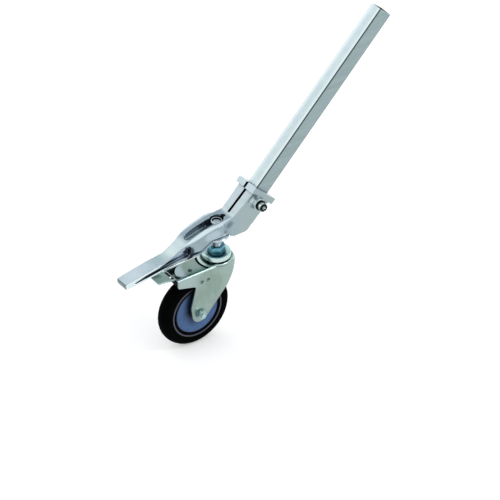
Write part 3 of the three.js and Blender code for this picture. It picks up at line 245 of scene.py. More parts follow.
class Surface(Graph):
    """Material of the object, with its masks and its finish"""

    def __init__(self, name, places=None):
        self.mat = bpy.data.materials.new(name)
        self.mat.use_nodes = True
        super().__init__(self.mat.node_tree, "ShaderNodeOutputMaterial")
        self.shader = self.add("ShaderNodeBsdfPrincipled")
        self.link(self.shader.outputs["BSDF"], self.out.inputs["Surface"])
        coord = self.add("ShaderNodeTexCoord")
        scale = self.add("ShaderNodeVectorMath", operation="SCALE")
        self.link(coord.outputs["Object"], scale.inputs[0])
        scale.inputs["Scale"].default_value = 1.0 / MM
        self.mm = scale.outputs[0]
        self.normal = coord.outputs["Normal"]
        self.x, self.y, self.z = self.split(self.mm)
        self.nx, self.ny, self.nz = self.split(self.normal)
        self.fields = {"x": self.x, "y": self.y, "z": self.z, "nx": self.nx, "ny": self.ny,
                       "nz": self.nz}
        self.places = places or {}
        self.masks = {}

    def split(self, vector):
        node = self.add("ShaderNodeSeparateXYZ")
        self.link(vector, node.inputs[0])
        return node.outputs[0], node.outputs[1], node.outputs[2]

    def mapped(self, vector, turn=(0, 0, 0), scale=(1, 1, 1)):
        node = self.add("ShaderNodeMapping")
        self.link(vector, node.inputs["Vector"])
        node.inputs["Rotation"].default_value = turn
        node.inputs["Scale"].default_value = scale
        return node.outputs[0]

    def noise(self, vector, per_mm, detail, rough, distort=0.0):
        node = self.add("ShaderNodeTexNoise")
        self.link(vector, node.inputs["Vector"])
        node.inputs["Scale"].default_value = per_mm
        node.inputs["Detail"].default_value = detail
        node.inputs["Roughness"].default_value = rough
        node.inputs["Distortion"].default_value = distort
        return node.outputs["Fac"]

    def vary(self, noise, low, high):
        """A noise's middle values spread from low to high"""
        return self.spread(noise, *NOISE_SPAN, low, high)

    def line(self, value, start, height, slope):
        """Height of a sloping line over value"""
        return self.math("MULTIPLY_ADD", value, slope, height - start * slope)

    def profile(self, value, points):
        """Height over value along the straight lines between points"""
        start, end = points[0][0], points[-1][0]
        low, high = min(h for _, h in points), max(h for _, h in points)
        stops = [((v - start) / (end - start), ((h - low) / (high - low),) * 3) for v, h in points]
        share = self.ramp(self.spread(value, start, end, 0.0, 1.0), stops)
        return self.spread(share, 0.0, 1.0, low, high)

    def distance(self, across, up, centre):
        """Distance in mm from an axis, given the two coordinates square to it"""
        a = self.math("SUBTRACT", across, centre[0])
        b = self.math("SUBTRACT", up, centre[1])
        return self.math("SQRT", self.math("ADD", self.product(a, a), self.product(b, b)))

    def spot(self, x, z, wide, high, ragged):
        """1 inside an ellipse seen from the side, 0 outside it; ragged gives an uneven edge"""
        a = self.math("MULTIPLY_ADD", self.x, 1.0 / wide, -x / wide)
        b = self.math("MULTIPLY_ADD", self.z, 1.0 / high, -z / high)
        square = self.math("ADD", self.product(a, a), self.product(b, b))
        if not ragged:
            return self.step(square, *SPOT_EDGE)
        uneven = self.vary(self.noise(self.mm, RAGGED_PER_MM, *RAGGED), -ragged, ragged)
        return self.step(self.math("ADD", square, uneven), *RAGGED_EDGE)

    def field(self, name):
        """What a step measures"""
        if name not in self.fields:
            self.fields[name] = MEASURES[name](self)
        return self.fields[name]

    def part(self, step):
        """Mask of one step of a place"""
        if isinstance(step, Spot):
            return self.spot(*step)
        if isinstance(step, str):
            return self.place(step)
        measure, low, high = step
        return self.step(self.field(measure), low, high)

    def place(self, name):
        """Mask of a named place, made once"""
        if name not in self.masks:
            self.masks[name] = self.product(*(self.part(step) for step in self.places[name].steps))
        return self.masks[name]

    def lay(self, base, *names):
        """base with the colours of named places laid over it, in their order"""
        for name in names:
            mask, colour, share, fade = self.place(name), *self.places[name][1:]
            if share < 1.0:
                mask = self.math("MULTIPLY", mask, share)
            if fade:
                colour = self.mix(self.part(fade), *colour)
            base = self.mix(mask, base, colour)
        return base

    def grey(self, value):
        node = self.add("ShaderNodeCombineColor")
        for socket in node.inputs[:3]:
            self.put(socket, value)
        return node.outputs[0]

    def mix(self, share, a, b, blend="MIX"):
        node = self.add("ShaderNodeMix", data_type="RGBA", blend_type=blend)
        self.put(node.inputs[0], share)
        for socket, value in ((node.inputs[6], a), (node.inputs[7], b)):
            self.put(socket, value if isinstance(value, bpy.types.NodeSocket) else (*value, 1.0))
        return node.outputs[2]

    def times(self, a, b):
        """One colour multiplied by another"""
        return self.mix(1.0, a, b, "MULTIPLY")

    def cloudy(self, per_mm, colour, tint):
        """Colour with clouds of a tint, as on metal"""
        cloud = self.noise(self.mm, per_mm, *METAL_CLOUD)
        return self.mix(self.step(cloud, *CLOUD_SPAN), colour, tint)

    def edges(self, radius_mm):
        """1 on rounded edges, 0 on flat ground"""
        bevel = self.add("ShaderNodeBevel", samples=EDGE_SAMPLES)
        bevel.inputs["Radius"].default_value = radius_mm * MM
        ground = self.add("ShaderNodeNewGeometry")
        turned = self.along(bevel.outputs[0], ground.outputs["Normal"])
        return self.spread(turned, *EDGE_SPAN, 1.0, 0.0)

    def open_sky(self, reach_mm, span=SKY_SPAN):
        """0 in deep corners, 1 in the open"""
        node = self.add("ShaderNodeAmbientOcclusion", samples=SKY_SAMPLES)
        node.inputs["Distance"].default_value = reach_mm * MM
        return self.spread(node.outputs["AO"], *span, 0.0, 1.0)

    def shelter(self, reach_mm, span=SKY_SPAN):
        """1 in deep corners, 0 in the open"""
        return self.math("SUBTRACT", 1.0, self.open_sky(reach_mm, span))

    def bump(self, height, depth_mm, strength, normal=None):
        node = self.add("ShaderNodeBump")
        node.inputs["Strength"].default_value = strength
        node.inputs["Distance"].default_value = depth_mm * MM
        self.put(node.inputs["Height"], height)
        if normal is not None:
            self.link(normal, node.inputs["Normal"])
        return node.outputs["Normal"]

    def finished(self, colour, rough, normal, **values):
        """The material, its shader linked; the other sockets are named with _ for a space"""
        self.put(self.shader.inputs["Base Color"], colour)
        self.put(self.shader.inputs["Roughness"], rough)
        self.put(self.shader.inputs["Normal"], normal)
        for key, value in values.items():
            self.shader.inputs[key.replace("_", " ")].default_value = value
        return self.mat


# Metals: tint of an edge, rubbed and brightened as a painted highlight, tints of the shade painted
# by how open the sky is, and the noises of the finish
RUBBED_AND_LIT_TINT = (1.5, 1.5, 1.48)
CORNER_SHADE_TINTS = ((0.0, (0.05, 0.065, 0.08)), (0.45, (0.42, 0.47, 0.5)), (1.0, WHITE))
CORNER_SHADE_SPAN = (0.12, 0.8)
GRIME_DULLNESS = 0.25
SPOTS = (0.9, 4.0, 0.7)
WAVES = (0.07, 2.0, 0.5)
SCRATCHES = (1.1, 2.0, 0.5)
SCRATCH_TURN = (0.3, 0.9, 0.5)
SCRATCH_SCALE = (0.05, 1.4, 1.4)
SCRATCH_SPAN = (0.66, 0.72)
SCRATCH_DULLNESS = 0.12
LINE_SPAN = (0.25, 0.75)
# Shares of mottle by which grain and spots darken and lighten the tone
GRAIN_DARK, GRAIN_LIGHT = 0.25, 0.15
SPOT_DARK, SPOT_LIGHT = 0.1, 0.06
# Shares of rough in the grain, and of grain and spots in the height of the bumps
SMOOTH_GRAIN, DULL_GRAIN = 0.85, 1.25
GRAIN_HEIGHT, SPOT_HEIGHT = 0.6, 0.4
BUMP_STRENGTH, WAVE_STRENGTH = 0.6, 0.5


def finish(n, base, rough=0.28, grain=(1, 1, 1), turn=(0, 0, 0), grain_mm=0.5, bump_mm=0.02,
           wave_mm=0.0, wear_and_sheen=0.5, dirt=0.8, mottle=0.35, reach_mm=9.0, edge_mm=0.6):
    """Grain, faint spots, edges brightened as wear and painted highlight, shade painted in the
    corners
    """
    lines = n.noise(n.mapped(n.mm, turn=turn, scale=grain), 1.0 / grain_mm, *GRAIN)
    spots = n.noise(n.mm, *SPOTS)
    tone = n.math("ADD", n.vary(lines, 1.0 - mottle * GRAIN_DARK, 1.0 + mottle * GRAIN_LIGHT),
                  n.vary(spots, -mottle * SPOT_DARK, mottle * SPOT_LIGHT))
    base = n.times(base, n.grey(tone))
    # Edges brightened: partly wear, partly a painted highlight
    edge = n.math("MULTIPLY", n.edges(edge_mm), wear_and_sheen)
    base = n.mix(edge, base, n.times(base, RUBBED_AND_LIT_TINT))
    # Painted shade: darker where less of the sky is open
    open_sky = n.open_sky(reach_mm, CORNER_SHADE_SPAN)
    base = n.mix(dirt, base, n.times(base, n.ramp(open_sky, CORNER_SHADE_TINTS)))
    scratch = n.noise(n.mapped(n.mm, turn=SCRATCH_TURN, scale=SCRATCH_SCALE), *SCRATCHES)
    dull = n.math("ADD", n.spread(lines, *LINE_SPAN, rough * SMOOTH_GRAIN, rough * DULL_GRAIN),
                  n.spread(scratch, *SCRATCH_SPAN, 0.0, SCRATCH_DULLNESS))
    grimy = n.spread(open_sky, 0.0, 1.0, GRIME_DULLNESS, 0.0)
    dull = n.math("ADD", dull, grimy, clamp=True)
    height = n.math("ADD", n.math("MULTIPLY", lines, GRAIN_HEIGHT),
                    n.math("MULTIPLY", spots, SPOT_HEIGHT))
    normal = n.bump(height, bump_mm, BUMP_STRENGTH)
    if wave_mm:
        normal = n.bump(n.noise(n.mm, *WAVES), wave_mm, WAVE_STRENGTH, normal)
    return n.finished(base, dull, normal, Metallic=1.0)


def plated(name, colour, tint, places=None, cloud_mm=22.0, **rest):
    """Plated metal of two cloudy tints, with the colours of its places laid over them"""
    n = Surface(name, places)
    base = n.cloudy(1.0 / cloud_mm, colour, tint)
    return finish(n, n.lay(base, *n.places), **rest)


# Places of the small metal parts. Painted shade: side walls darker than the faces on top, a shadow
# round the nut in the race, a dark bore in the ring nut. Painted reflections on the screw head:
# dark on its end face, bright in its socket
SHADED_WALL = (("faces_level", 0.75, 0.45),)
WASHER_PLACES = {"wall": Place(SHADED_WALL, srgb(184, 196, 205))}
RACE_PLACES = {
    "wall": Place(SHADED_WALL, srgb(192, 212, 209)),
    # Painted shadow round the nut
    "grease_round_nut": Place((("from_stem", 15.6, 14.7), ("nz", 0.4, 0.7)), srgb(14, 32, 38), 0.8),
}
# Painted shade in the bore of the ring nut
RING_NUT_PLACES = {"greasy_bore": Place((("from_stem", 7.25, 6.95),), (0.002, 0.004, 0.006))}
SCREW_PLACES = {
    # Painted dark reflection on the end face, painted highlight in the socket
    "burnt_end": Place((("y", -36.8, -37.4), ("from_screw", 3.1, 3.5)), srgb(10, 18, 20)),
    "pale_socket": Place((("y", -34.0, -35.0), ("from_screw", 3.2, 2.9)), WHITE),
}
SMALL_CLOUD_MM = 1.0 / 0.12

# Painted light on the tube: side walls darker as shade, a dark reflection along the corners, a
# glint beside it
TUBE_PLACES = {
    "side_wall": Place((("faces_side", 0.6, 0.85),)),
    "drawing_line": Place((("faces_side", 0.3, 0.5), ("faces_broad", 0.08, 0.3)),
                          srgb(52, 66, 72), 0.9),
    "glint": Place((("faces_side", 0.02, 0.1), ("faces_side", 0.32, 0.22),
                    ("faces_broad", 0.5, 0.8)), srgb(238, 252, 254)),
}
DRAWN_STREAKS = (0.12, 1.0, 1.0)
DRAWN_PER_MM = 0.09


def tube_material():
    """Drawn and polished tube; painted light: darker side walls, dark reflections at the corners, a
    glint
    """
    n = Surface("bright_tube", TUBE_PLACES)
    cloud = n.noise(n.mapped(n.mm, turn=LEG_TURN, scale=DRAWN_STREAKS), DRAWN_PER_MM, *SKIN)
    top = n.mix(n.step(cloud, *CLOUD_SPAN), srgb(210, 227, 231), srgb(202, 219, 225))
    side = n.mix(n.step(cloud, *NOISE_SPAN), srgb(137, 154, 156), srgb(147, 164, 166))
    base = n.lay(n.mix(n.place("side_wall"), top, side), "drawing_line", "glint")
    return finish(n, base, rough=0.24, grain=(0.02, 1.0, 1.0), turn=LEG_TURN, grain_mm=0.7,
                  bump_mm=0.006, mottle=0.25, dirt=0.35, wear_and_sheen=0.0)


# The casting, with painted light: its top lighter than its sides and darker before the tongue's
# bend. Tones of its top from the tongue's tip to the hub, by share of the way along X
TOP_SPAN = (-490.0, -290.0)
TOP_TONES = (
    (0.0, srgb(184, 203, 212)), (0.18, srgb(192, 208, 216)), (0.38, srgb(166, 187, 196)),
    (0.43, srgb(184, 202, 206)), (0.48, srgb(200, 217, 218)), (0.62, srgb(194, 211, 217)),
    (0.75, srgb(202, 220, 228)), (1.0, srgb(200, 216, 222)),
)
TOP_CLOUD_TINT = (0.9, 0.91, 0.92)
CAST_CLOUD_PER_MM = 0.05
# Painted shade: tones of the hollow over its height in mm, black at its floor
HOLLOW_HEIGHT = (-1.0, 10.0)
HOLLOW_SHADE_TONES = (
    (0.0, srgb(4, 8, 16)), (0.34, srgb(16, 24, 38)), (0.6, srgb(98, 110, 132)),
    (1.0, srgb(176, 188, 206)),
)
# Lines on it, each by the X and height of a point and its slope
ROOF_LINES = ((-339.9, -273.0, 0.357), (-339.9, -273.0, 0.166))
HOLLOW_FLOOR_LINE = (-473.0, -319.0, 0.075)
# From one X to another, how much higher the black floor of the hollow reaches at the tip, and the
# Y of the slot's near rim
TIP_RISE = (-440.0, -385.0, 8.0, 0.0)
NEAR_RIM_LINE = (-336.0, -318.0, -10.4, -13.4)
# Lower edge of the hub's bulge, X and height, and how far along X it is moved, for the painted
# shadow
BULGE_EDGE = ((-368.0, -304.7), (-364.4, -301.3), (-349.4, -301.3), (-328.5, -288.8),
              (-304.7, -289.9), (-296.0, -293.1), (-285.6, -301.6))
BULGE_SHIFT = 4.8
# How far the slot and the hollow are kept free of painted corner shade, that shade where the
# casting isn't kept free and where it is, edge wear and painted highlight outside its shaded corner
# and inside it
SLOT_SHADE_FREE, HOLLOW_SHADE_FREE = 0.8, 0.7
CAST_CORNER_SHADE = (0.85, 0.05)
CAST_WEAR_AND_SHEEN = (0.8, 0.0)
CAST_PLACES = {
    # On the top, lighter than the sides as painted light: darker along the slot, a painted
    # highlight on the near rim, lighter on the flange
    "slot_side": Place((("off_middle", 16.6, 14.2), ("x", -376.0, -362.0), ("x", -286.0, -294.0)),
                       srgb(146, 163, 174)),
    "near_rim": Place((("inside_rim", 0.8, -0.8), ("x", -382.0, -374.0), ("x", -284.0, -296.0)),
                      srgb(206, 222, 229)),
    "flange": Place((("along_leg", -346.0, -343.6),), srgb(202, 218, 226)),
    # On the side faces, painted darker than the top as shade, with painted sheen on the hub and
    # flank
    "sideways": Place((("faces_side", 0.55, 0.8),)),
    "rubbed_hub": Place((Spot(-327.0, -281.0, 15.0, 8.0, 0.5),), srgb(180, 197, 206), 0.65),
    "rubbed_flank": Place((Spot(-304.0, -268.0, 10.0, 4.0, 0.5),), srgb(180, 197, 206), 0.3),
    "socket_side": Place((("x", -295.0, -270.0),), srgb(154, 169, 171)),
    "flange_side": Place(("flange",), srgb(150, 166, 168)),
    # Joint line under the flange, and the boss of the clamp screw with a painted shadow at its foot
    "joint_line": Place((("along_leg", -345.3, -344.5), ("along_leg", -342.9, -343.7)),
                        srgb(86, 106, 116), 0.6),
    "boss": Place((("y", -22.4, -22.8), ("from_screw", 11.5, 10.5)), srgb(178, 197, 198)),
    "boss_foot": Place(("boss", ("y", -24.2, -23.4)), srgb(70, 94, 98), 0.7),
    # Painted highlight on the rails of the tongue, brighter towards its tip
    "tongue_rails": Place((("x", -374.0, -388.0), "sideways", ("off_middle", 9.4, 10.4)),
                          (srgb(140, 160, 168), srgb(214, 229, 232)), fade=("x", -396.0, -436.0)),
    # Painted shade on the floor and walls of the slot, darker towards the hub; the slot is wide at
    # the hub
    "slot_narrow": Place((("off_middle", 9.3, 8.9),)),
    "slot_broad": Place((("off_middle", 11.4, 10.9), ("x", -352.0, -348.0))),
    "slot": Place((("sunk", 1.5, 3.5), ("sunk", 19.0, 17.0), "slot_mouth", ("x", -376.0, -375.0),
                   ("x", -288.0, -290.0)),
                  (srgb(146, 162, 170), srgb(112, 124, 134)), fade=("x", -338.0, -330.0)),
    # Hollow beside the tongue
    "hollow": Place(("sideways", ("off_middle", 11.6, 10.6), ("x", -352.0, -358.0))),
    # Rail under the bulge of the hub, bright beside the washer, with a painted shadow along the
    # bulge
    "rail": Place(("sideways", ("off_middle", 14.2, 13.6), ("x", -386.0, -372.0),
                   ("x", -284.0, -290.0), ("off_middle", 12.4, 12.9)), srgb(136, 155, 165)),
    "bright_rail": Place(("rail", ("x", -326.0, -318.0)), srgb(200, 211, 218)),
    "bulge_grime": Place(("rail", ("under_bulge", 8.4, 7.0), ("x", -374.0, -368.0),
                          ("x", -318.0, -326.0)), (srgb(24, 34, 48), srgb(92, 110, 120)),
                         fade=("x", -354.0, -340.0)),
    # Painted shade on the end face of the tongue; stains; painted shade in a dark corner of the hub
    # and on the walls of the clamp's split
    "tip_end": Place((("nx", -0.25, -0.5), ("x", -470.0, -478.0)), srgb(118, 132, 136)),
    "stain": Place((Spot(-294.5, -276.5, 7.0, 6.5, 0.7), "sideways"), srgb(84, 96, 112), 0.7),
    "small_stain": Place((Spot(-301.5, -286.0, 4.0, 3.2, 0.7), "sideways"), srgb(84, 96, 112), 0.6),
    "corner": Place((Spot(-367.5, -297.5, 7.0, 9.5), ("nz", 0.6, 0.3)), srgb(16, 20, 44), 0.85),
    "split_walls": Place(("sideways", ("off_middle", 2.9, 2.5), ("x", -292.0, -288.0)),
                         srgb(8, 12, 14)),
}


def casting_material():
    """Light alloy casting, painted light: upper faces lighter, side faces darker, hollows dark as
    shade
    """
    n = Surface("bright_casting", CAST_PLACES)
    n.fields["inside_rim"] = n.math("SUBTRACT", n.y, n.spread(n.x, *NEAR_RIM_LINE))
    roof = n.math("MINIMUM", n.line(n.x, *ROOF_LINES[0]), n.line(n.x, *ROOF_LINES[1]))
    n.fields["sunk"] = n.math("SUBTRACT", roof, n.z)
    n.masks["slot_mouth"] = n.math("MAXIMUM", n.place("slot_narrow"), n.place("slot_broad"))
    bulge = n.profile(n.math("SUBTRACT", n.x, BULGE_SHIFT), BULGE_EDGE)
    n.fields["under_bulge"] = n.math("SUBTRACT", bulge, n.z)
    cloud = n.noise(n.mm, CAST_CLOUD_PER_MM, *METAL_CLOUD)
    bright = n.mix(n.step(cloud, *CLOUD_SPAN), WHITE, TOP_CLOUD_TINT)
    top = n.times(n.ramp(n.spread(n.x, *TOP_SPAN, 0.0, 1.0), TOP_TONES), bright)
    top = n.lay(top, "slot_side", "near_rim", "flange")
    side = n.mix(n.step(cloud, *NOISE_SPAN), srgb(140, 158, 166), srgb(150, 168, 175))
    side = n.lay(side, "rubbed_hub", "rubbed_flank", "socket_side", "flange_side")
    # Painted light: the top lighter than the sides
    base = n.mix(n.place("sideways"), top, side)
    base = n.lay(base, "joint_line", "boss", "boss_foot", "tongue_rails", "slot")
    # Painted shade: the hollow is grey violet above, black along its floor and at its tip
    hollow = n.math("SUBTRACT", n.place("hollow"), n.place("slot"), clamp=True)
    above = n.math("SUBTRACT", n.z, n.line(n.x, *HOLLOW_FLOOR_LINE))
    above = n.math("SUBTRACT", above, n.spread(n.x, *TIP_RISE))
    base = n.mix(hollow, base, n.ramp(n.spread(above, *HOLLOW_HEIGHT, 0.0, 1.0), HOLLOW_SHADE_TONES))
    base = n.lay(base, "rail", "bright_rail", "bulge_grime", "tip_end", "stain", "small_stain",
                 "corner", "split_walls")
    # The shade painted in the corners stays off the slot and the hollow, which have their own
    # painted shade, and off the bright rail and the boss
    shade_free = n.math("MAXIMUM", n.math("MULTIPLY", n.place("slot"), SLOT_SHADE_FREE),
                   n.math("MULTIPLY", hollow, HOLLOW_SHADE_FREE))
    shade_free = n.math("MAXIMUM", n.math("MAXIMUM", shade_free, n.place("bright_rail")), n.place("boss"))
    return finish(n, base, rough=0.27, grain_mm=1.3, bump_mm=0.02, wave_mm=0.3, mottle=0.2,
                  dirt=n.spread(shade_free, 0.0, 1.0, *CAST_CORNER_SHADE), reach_mm=12.0, edge_mm=1.0,
                  wear_and_sheen=n.spread(n.place("corner"), 0.0, 1.0, *CAST_WEAR_AND_SHEEN))


# Zinc plated sheet: its clouds and streaks, the painted shade where it is sheltered, the painted
# highlight on its bends
SHEET_CLOUD_PER_MM = 0.04
SHEET_STREAKS = (1.0, 1.0, 0.12)
STREAKS_PER_MM = 0.22
STREAK_TONES = (0.93, 1.07)
SHELTER_MM, SHELTER_SPAN = 42.0, (0.3, 0.85)
# Painted highlight along the bends, on the near side
SHEET_BEND_HIGHLIGHT = Place((("nz", 0.3, 0.5), ("nz", 0.94, 0.8), ("ny", 0.35, 0.15)),
                   srgb(196, 224, 219), 0.85)
# How far the edge of the nose's painted light lies aslant, X over Y
NOSE_SKEW = 0.35
FORK_PLACES = {
    "bend": SHEET_BEND_HIGHLIGHT,
    # Pale arms, greener rear and middle of the cheeks; painted shade on the near half of the crown
    # and painted light on the nose
    "flat_side": Place((("faces_side", 0.6, 0.85),)),
    "arm": Place(("flat_side", ("x", -344.0, -372.0), ("z", -374.0, -364.0)), srgb(160, 180, 177)),
    "rear": Place(("flat_side", ("x", -318.0, -300.0)), srgb(150, 170, 164)),
    "cheek_patch": Place(("flat_side", Spot(-325.0, -370.0, 15.0, 20.0)), srgb(132, 156, 145), 0.6),
    "green_crown": Place((("nz", 0.86, 0.95), ("y", -6.0, -17.0), ("x", -326.0, -334.0),
                          ("x", -376.0, -368.0)), srgb(88, 124, 116)),
    "nose": Place((("nose_line", -366.0, -374.0), ("nz", 0.3, 0.6)), srgb(158, 179, 184)),
    # Raised seat of the ball race: painted highlight on its edge, the race's shadow painted inside
    # it, a ring of painted shade in the groove round it
    "seat_edge": Place((("nz", 0.2, 0.5), ("from_stem", 25.6, 27.0), ("from_stem", 30.8, 30.0)),
                       srgb(200, 226, 220), 0.8),
    "race_shadow": Place((("from_stem", 21.6, 22.6), ("from_stem", 25.4, 24.6),
                          ("z", -344.2, -343.2), ("x", -322.0, -328.0)), srgb(10, 20, 20), 0.85),
    "greasy_ring": Place((("z", -345.0, -342.0), ("from_stem", 30.2, 30.8),
                          ("from_stem", 34.4, 33.6), ("off_middle", 17.2, 15.8)), srgb(6, 16, 16)),
    # Two pressed dimples on the outer faces of the cheeks, each painted dark as shade with a
    # lighter painted floor below
    "outer_face": Place((("off_middle", 18.4, 18.8),)),
    "front_dimple": Place((Spot(-348.8, -359.1, 3.7, 3.0), "outer_face"), srgb(44, 62, 60), 0.8),
    "front_dimple_floor": Place((Spot(-348.5, -361.1, 2.4, 1.5), "outer_face"),
                                srgb(160, 180, 174), 0.75),
    "rear_dimple": Place((Spot(-337.2, -359.1, 3.7, 3.0), "outer_face"), srgb(44, 62, 60), 0.8),
    "rear_dimple_floor": Place((Spot(-336.9, -361.1, 2.4, 1.5), "outer_face"),
                               srgb(160, 180, 174), 0.75),
}
PEDAL_PLACES = {
    "bend": SHEET_BEND_HIGHLIGHT,
    # Painted shade on the tread and slot walls, painted light on the step that sits in shade
    "tread": Place((("nz", 0.8, 0.95), ("x", -404.0, -414.0), ("y", -4.0, 6.0)),
                   srgb(54, 92, 84), 0.9),
    "bright_step": Place((("x", -394.0, -391.0),), srgb(190, 206, 206)),
    "slot_wall": Place((("faces_end", 0.6, 0.85), ("x", -400.0, -399.0), ("x", -391.8, -392.4)),
                       srgb(4, 10, 10)),
}


def sheet_base(n, colour, tint, low):
    """Zinc plated sheet: cloudy, streaked, painted shade where sheltered, painted highlight on its
    bends
    """
    base = n.cloudy(SHEET_CLOUD_PER_MM, colour, tint)
    streak = n.noise(n.mapped(n.mm, scale=SHEET_STREAKS), STREAKS_PER_MM, *SKIN)
    base = n.times(base, n.grey(n.vary(streak, *STREAK_TONES)))
    # Painted shade where the sheet is sheltered
    base = n.mix(n.shelter(SHELTER_MM, SHELTER_SPAN), base, low)
    return n.lay(base, "bend")


def fork_material():
    """Pressed fork, with the places of its table"""
    n = Surface("fork_sheet", FORK_PLACES)
    n.fields["nose_line"] = n.math("SUBTRACT", n.x, n.math("MULTIPLY", n.y, NOSE_SKEW))
    base = sheet_base(n, srgb(150, 169, 162), srgb(139, 158, 150), srgb(112, 144, 140))
    base = n.lay(base, "arm", "rear", "cheek_patch", "green_crown", "nose", "seat_edge",
                 "race_shadow", "greasy_ring", "front_dimple", "front_dimple_floor",
                 "rear_dimple", "rear_dimple_floor")
    return finish(n, base, rough=0.3, grain_mm=0.8, bump_mm=0.015, wave_mm=0.1, mottle=0.35,
                  dirt=0.8, reach_mm=5.0, wear_and_sheen=0.8)


def pedal_material():
    """Brake pedal: painted shade on the green tread, painted light on the step, slot walls painted
    black as shade
    """
    n = Surface("pedal_sheet", PEDAL_PLACES)
    base = sheet_base(n, srgb(158, 183, 178), srgb(146, 172, 168), srgb(84, 116, 114))
    base = n.lay(base, "tread", "bright_step", "slot_wall")
    return finish(n, base, rough=0.3, grain_mm=0.8, bump_mm=0.015, wave_mm=0.1, mottle=0.3,
                  dirt=n.spread(n.place("bright_step"), 0.0, 1.0, 0.8, 0.0), reach_mm=6.0, wear_and_sheen=0.7)


# Plastic and rubber
GLOSS_PER_MM = 0.12
SKIN_STRENGTH = 0.7
DARKEST_SKIN = 0.93
# What rubbing does to rubber, and the shade painted where it is sheltered: reach in mm, share, gain
# and lift of the colour
RUBBER_EDGE_MM, RUBBER_EDGE_SHARE = 0.8, 0.3
RUBBER_SHELTER_MM, RUBBER_SHELTER_SHARE = 6.0, 0.25
RUBBED_GAIN, RUBBED_LIFT = 1.5, 0.003
SHELTERED_GAIN = 0.2
SMOOTH_RUBBER, DULL_RUBBER = 0.88, 1.12


def moulded_base(n, colour, tint, cloud_per_mm, grain_mm, brightest):
    """Cloudy colour with a fine skin; gives the colour and the skin's height"""
    cloud = n.noise(n.mm, cloud_per_mm, *PLASTIC_CLOUD)
    skin = n.noise(n.mm, 1.0 / grain_mm, *SKIN)
    base = n.mix(n.step(cloud, *NOISE_SPAN), colour, tint)
    return n.times(base, n.grey(n.vary(skin, DARKEST_SKIN, brightest))), skin


def moulded_finish(n, base, rough, skin, bump_mm, level):
    """Cloudy gloss between the two values of rough, and fine bumps"""
    gloss = n.vary(n.noise(n.mm, GLOSS_PER_MM, *SKIN), *rough)
    bumps = n.bump(skin, bump_mm, SKIN_STRENGTH)
    return n.finished(base, gloss, bumps, Specular_IOR_Level=level)


def rubber(name, colour, tint, rough, grain_mm, bump_mm, level):
    """Moulded rubber: fine skin, rubbed edges, shade painted dark in the corners"""
    n = Surface(name)
    base, skin = moulded_base(n, colour, tint, cloud_per_mm=0.05, grain_mm=grain_mm, brightest=1.05)
    rubbed = n.math("MULTIPLY", n.edges(RUBBER_EDGE_MM), RUBBER_EDGE_SHARE)
    base = n.mix(rubbed, base, tuple(c * RUBBED_GAIN + RUBBED_LIFT for c in colour))
    sheltered = n.math("MULTIPLY", n.shelter(RUBBER_SHELTER_MM), RUBBER_SHELTER_SHARE)
    base = n.mix(sheltered, base, tuple(c * SHELTERED_GAIN for c in colour))
    gloss = (rough * SMOOTH_RUBBER, rough * DULL_RUBBER)
    return moulded_finish(n, base, gloss, skin, bump_mm, level)


def wheel_plastic(name, colour, tint, mark, shade, shade_reach, shade_share, rough, bump_mm,
                  level):
    """Plastic of the wheel: mottled, with a ring of painted shade round the axle, dark where shaded
    """
    n = Surface(name, {"mark": mark})
    base, skin = moulded_base(n, colour, tint, cloud_per_mm=0.06, grain_mm=0.5, brightest=1.06)
    base = n.lay(base, "mark")
    base = n.mix(n.math("MULTIPLY", n.shelter(*shade_reach), shade_share), base, shade)
    return moulded_finish(n, base, rough, skin, bump_mm, level)


bright_steel = plated("bright_steel", srgb(170, 186, 193), srgb(152, 168, 176), rough=0.24,
                      grain=(1, 1, 0.1), dirt=0.5, reach_mm=4.0)
washer_steel = plated("washer_steel", srgb(218, 228, 234), srgb(206, 217, 224), WASHER_PLACES,
                      rough=0.24, dirt=0.0)
zinc_steel = plated("zinc_steel", srgb(178, 202, 200), srgb(164, 190, 190), rough=0.28)
# Painted shade: the clamp washer is black to stand for the shadow between the screw head and the
# boss
shadow_black_steel = plated("shadow_black_steel", srgb(20, 28, 32), srgb(13, 19, 23), rough=0.35)
race_steel = plated("race_steel", srgb(194, 228, 229), srgb(176, 212, 213), RACE_PLACES, rough=0.24,
                    dirt=0.3)
dark_zinc = plated("dark_zinc", srgb(160, 184, 182), srgb(142, 168, 168), rough=0.3)
# Painted shade: a darker copy of dark_zinc, for the lower race in the upper race's shadow and the
# leaf rivet
shaded_zinc = plated("shaded_zinc", srgb(64, 88, 86), srgb(50, 72, 72), rough=0.35)
blue_zinc = plated("blue_zinc", srgb(104, 158, 176), srgb(88, 146, 158), cloud_mm=9.0, rough=0.2,
                   dirt=0.45)
ball_steel = plated("ball_steel", srgb(150, 160, 162), srgb(128, 138, 140), rough=0.2, mottle=0.2)
spring_steel = plated("spring_steel", srgb(110, 120, 124), srgb(92, 100, 106), rough=0.35)
ring_nut_steel = plated("ring_nut_steel", srgb(206, 220, 227), srgb(188, 203, 211), RING_NUT_PLACES,
                        SMALL_CLOUD_MM, rough=0.24, reach_mm=4.0, dirt=0.7)
screw_steel = plated("screw_steel", srgb(218, 234, 230), srgb(200, 220, 216), SCREW_PLACES,
                     SMALL_CLOUD_MM, rough=0.25, reach_mm=3.0, dirt=0.1)
bright_tube = tube_material()
bright_casting = casting_material()
fork_sheet = fork_material()
pedal_sheet = pedal_material()
tyre_rubber = rubber("tyre_rubber", (0.0006, 0.0008, 0.0008), (0.0012, 0.0015, 0.0015),
                     rough=0.65, grain_mm=0.9, bump_mm=0.03, level=0.012)
brake_rubber = rubber("brake_rubber", (0.005, 0.005, 0.006), (0.009, 0.009, 0.01),
                      rough=0.8, grain_mm=0.7, bump_mm=0.05, level=0.1)
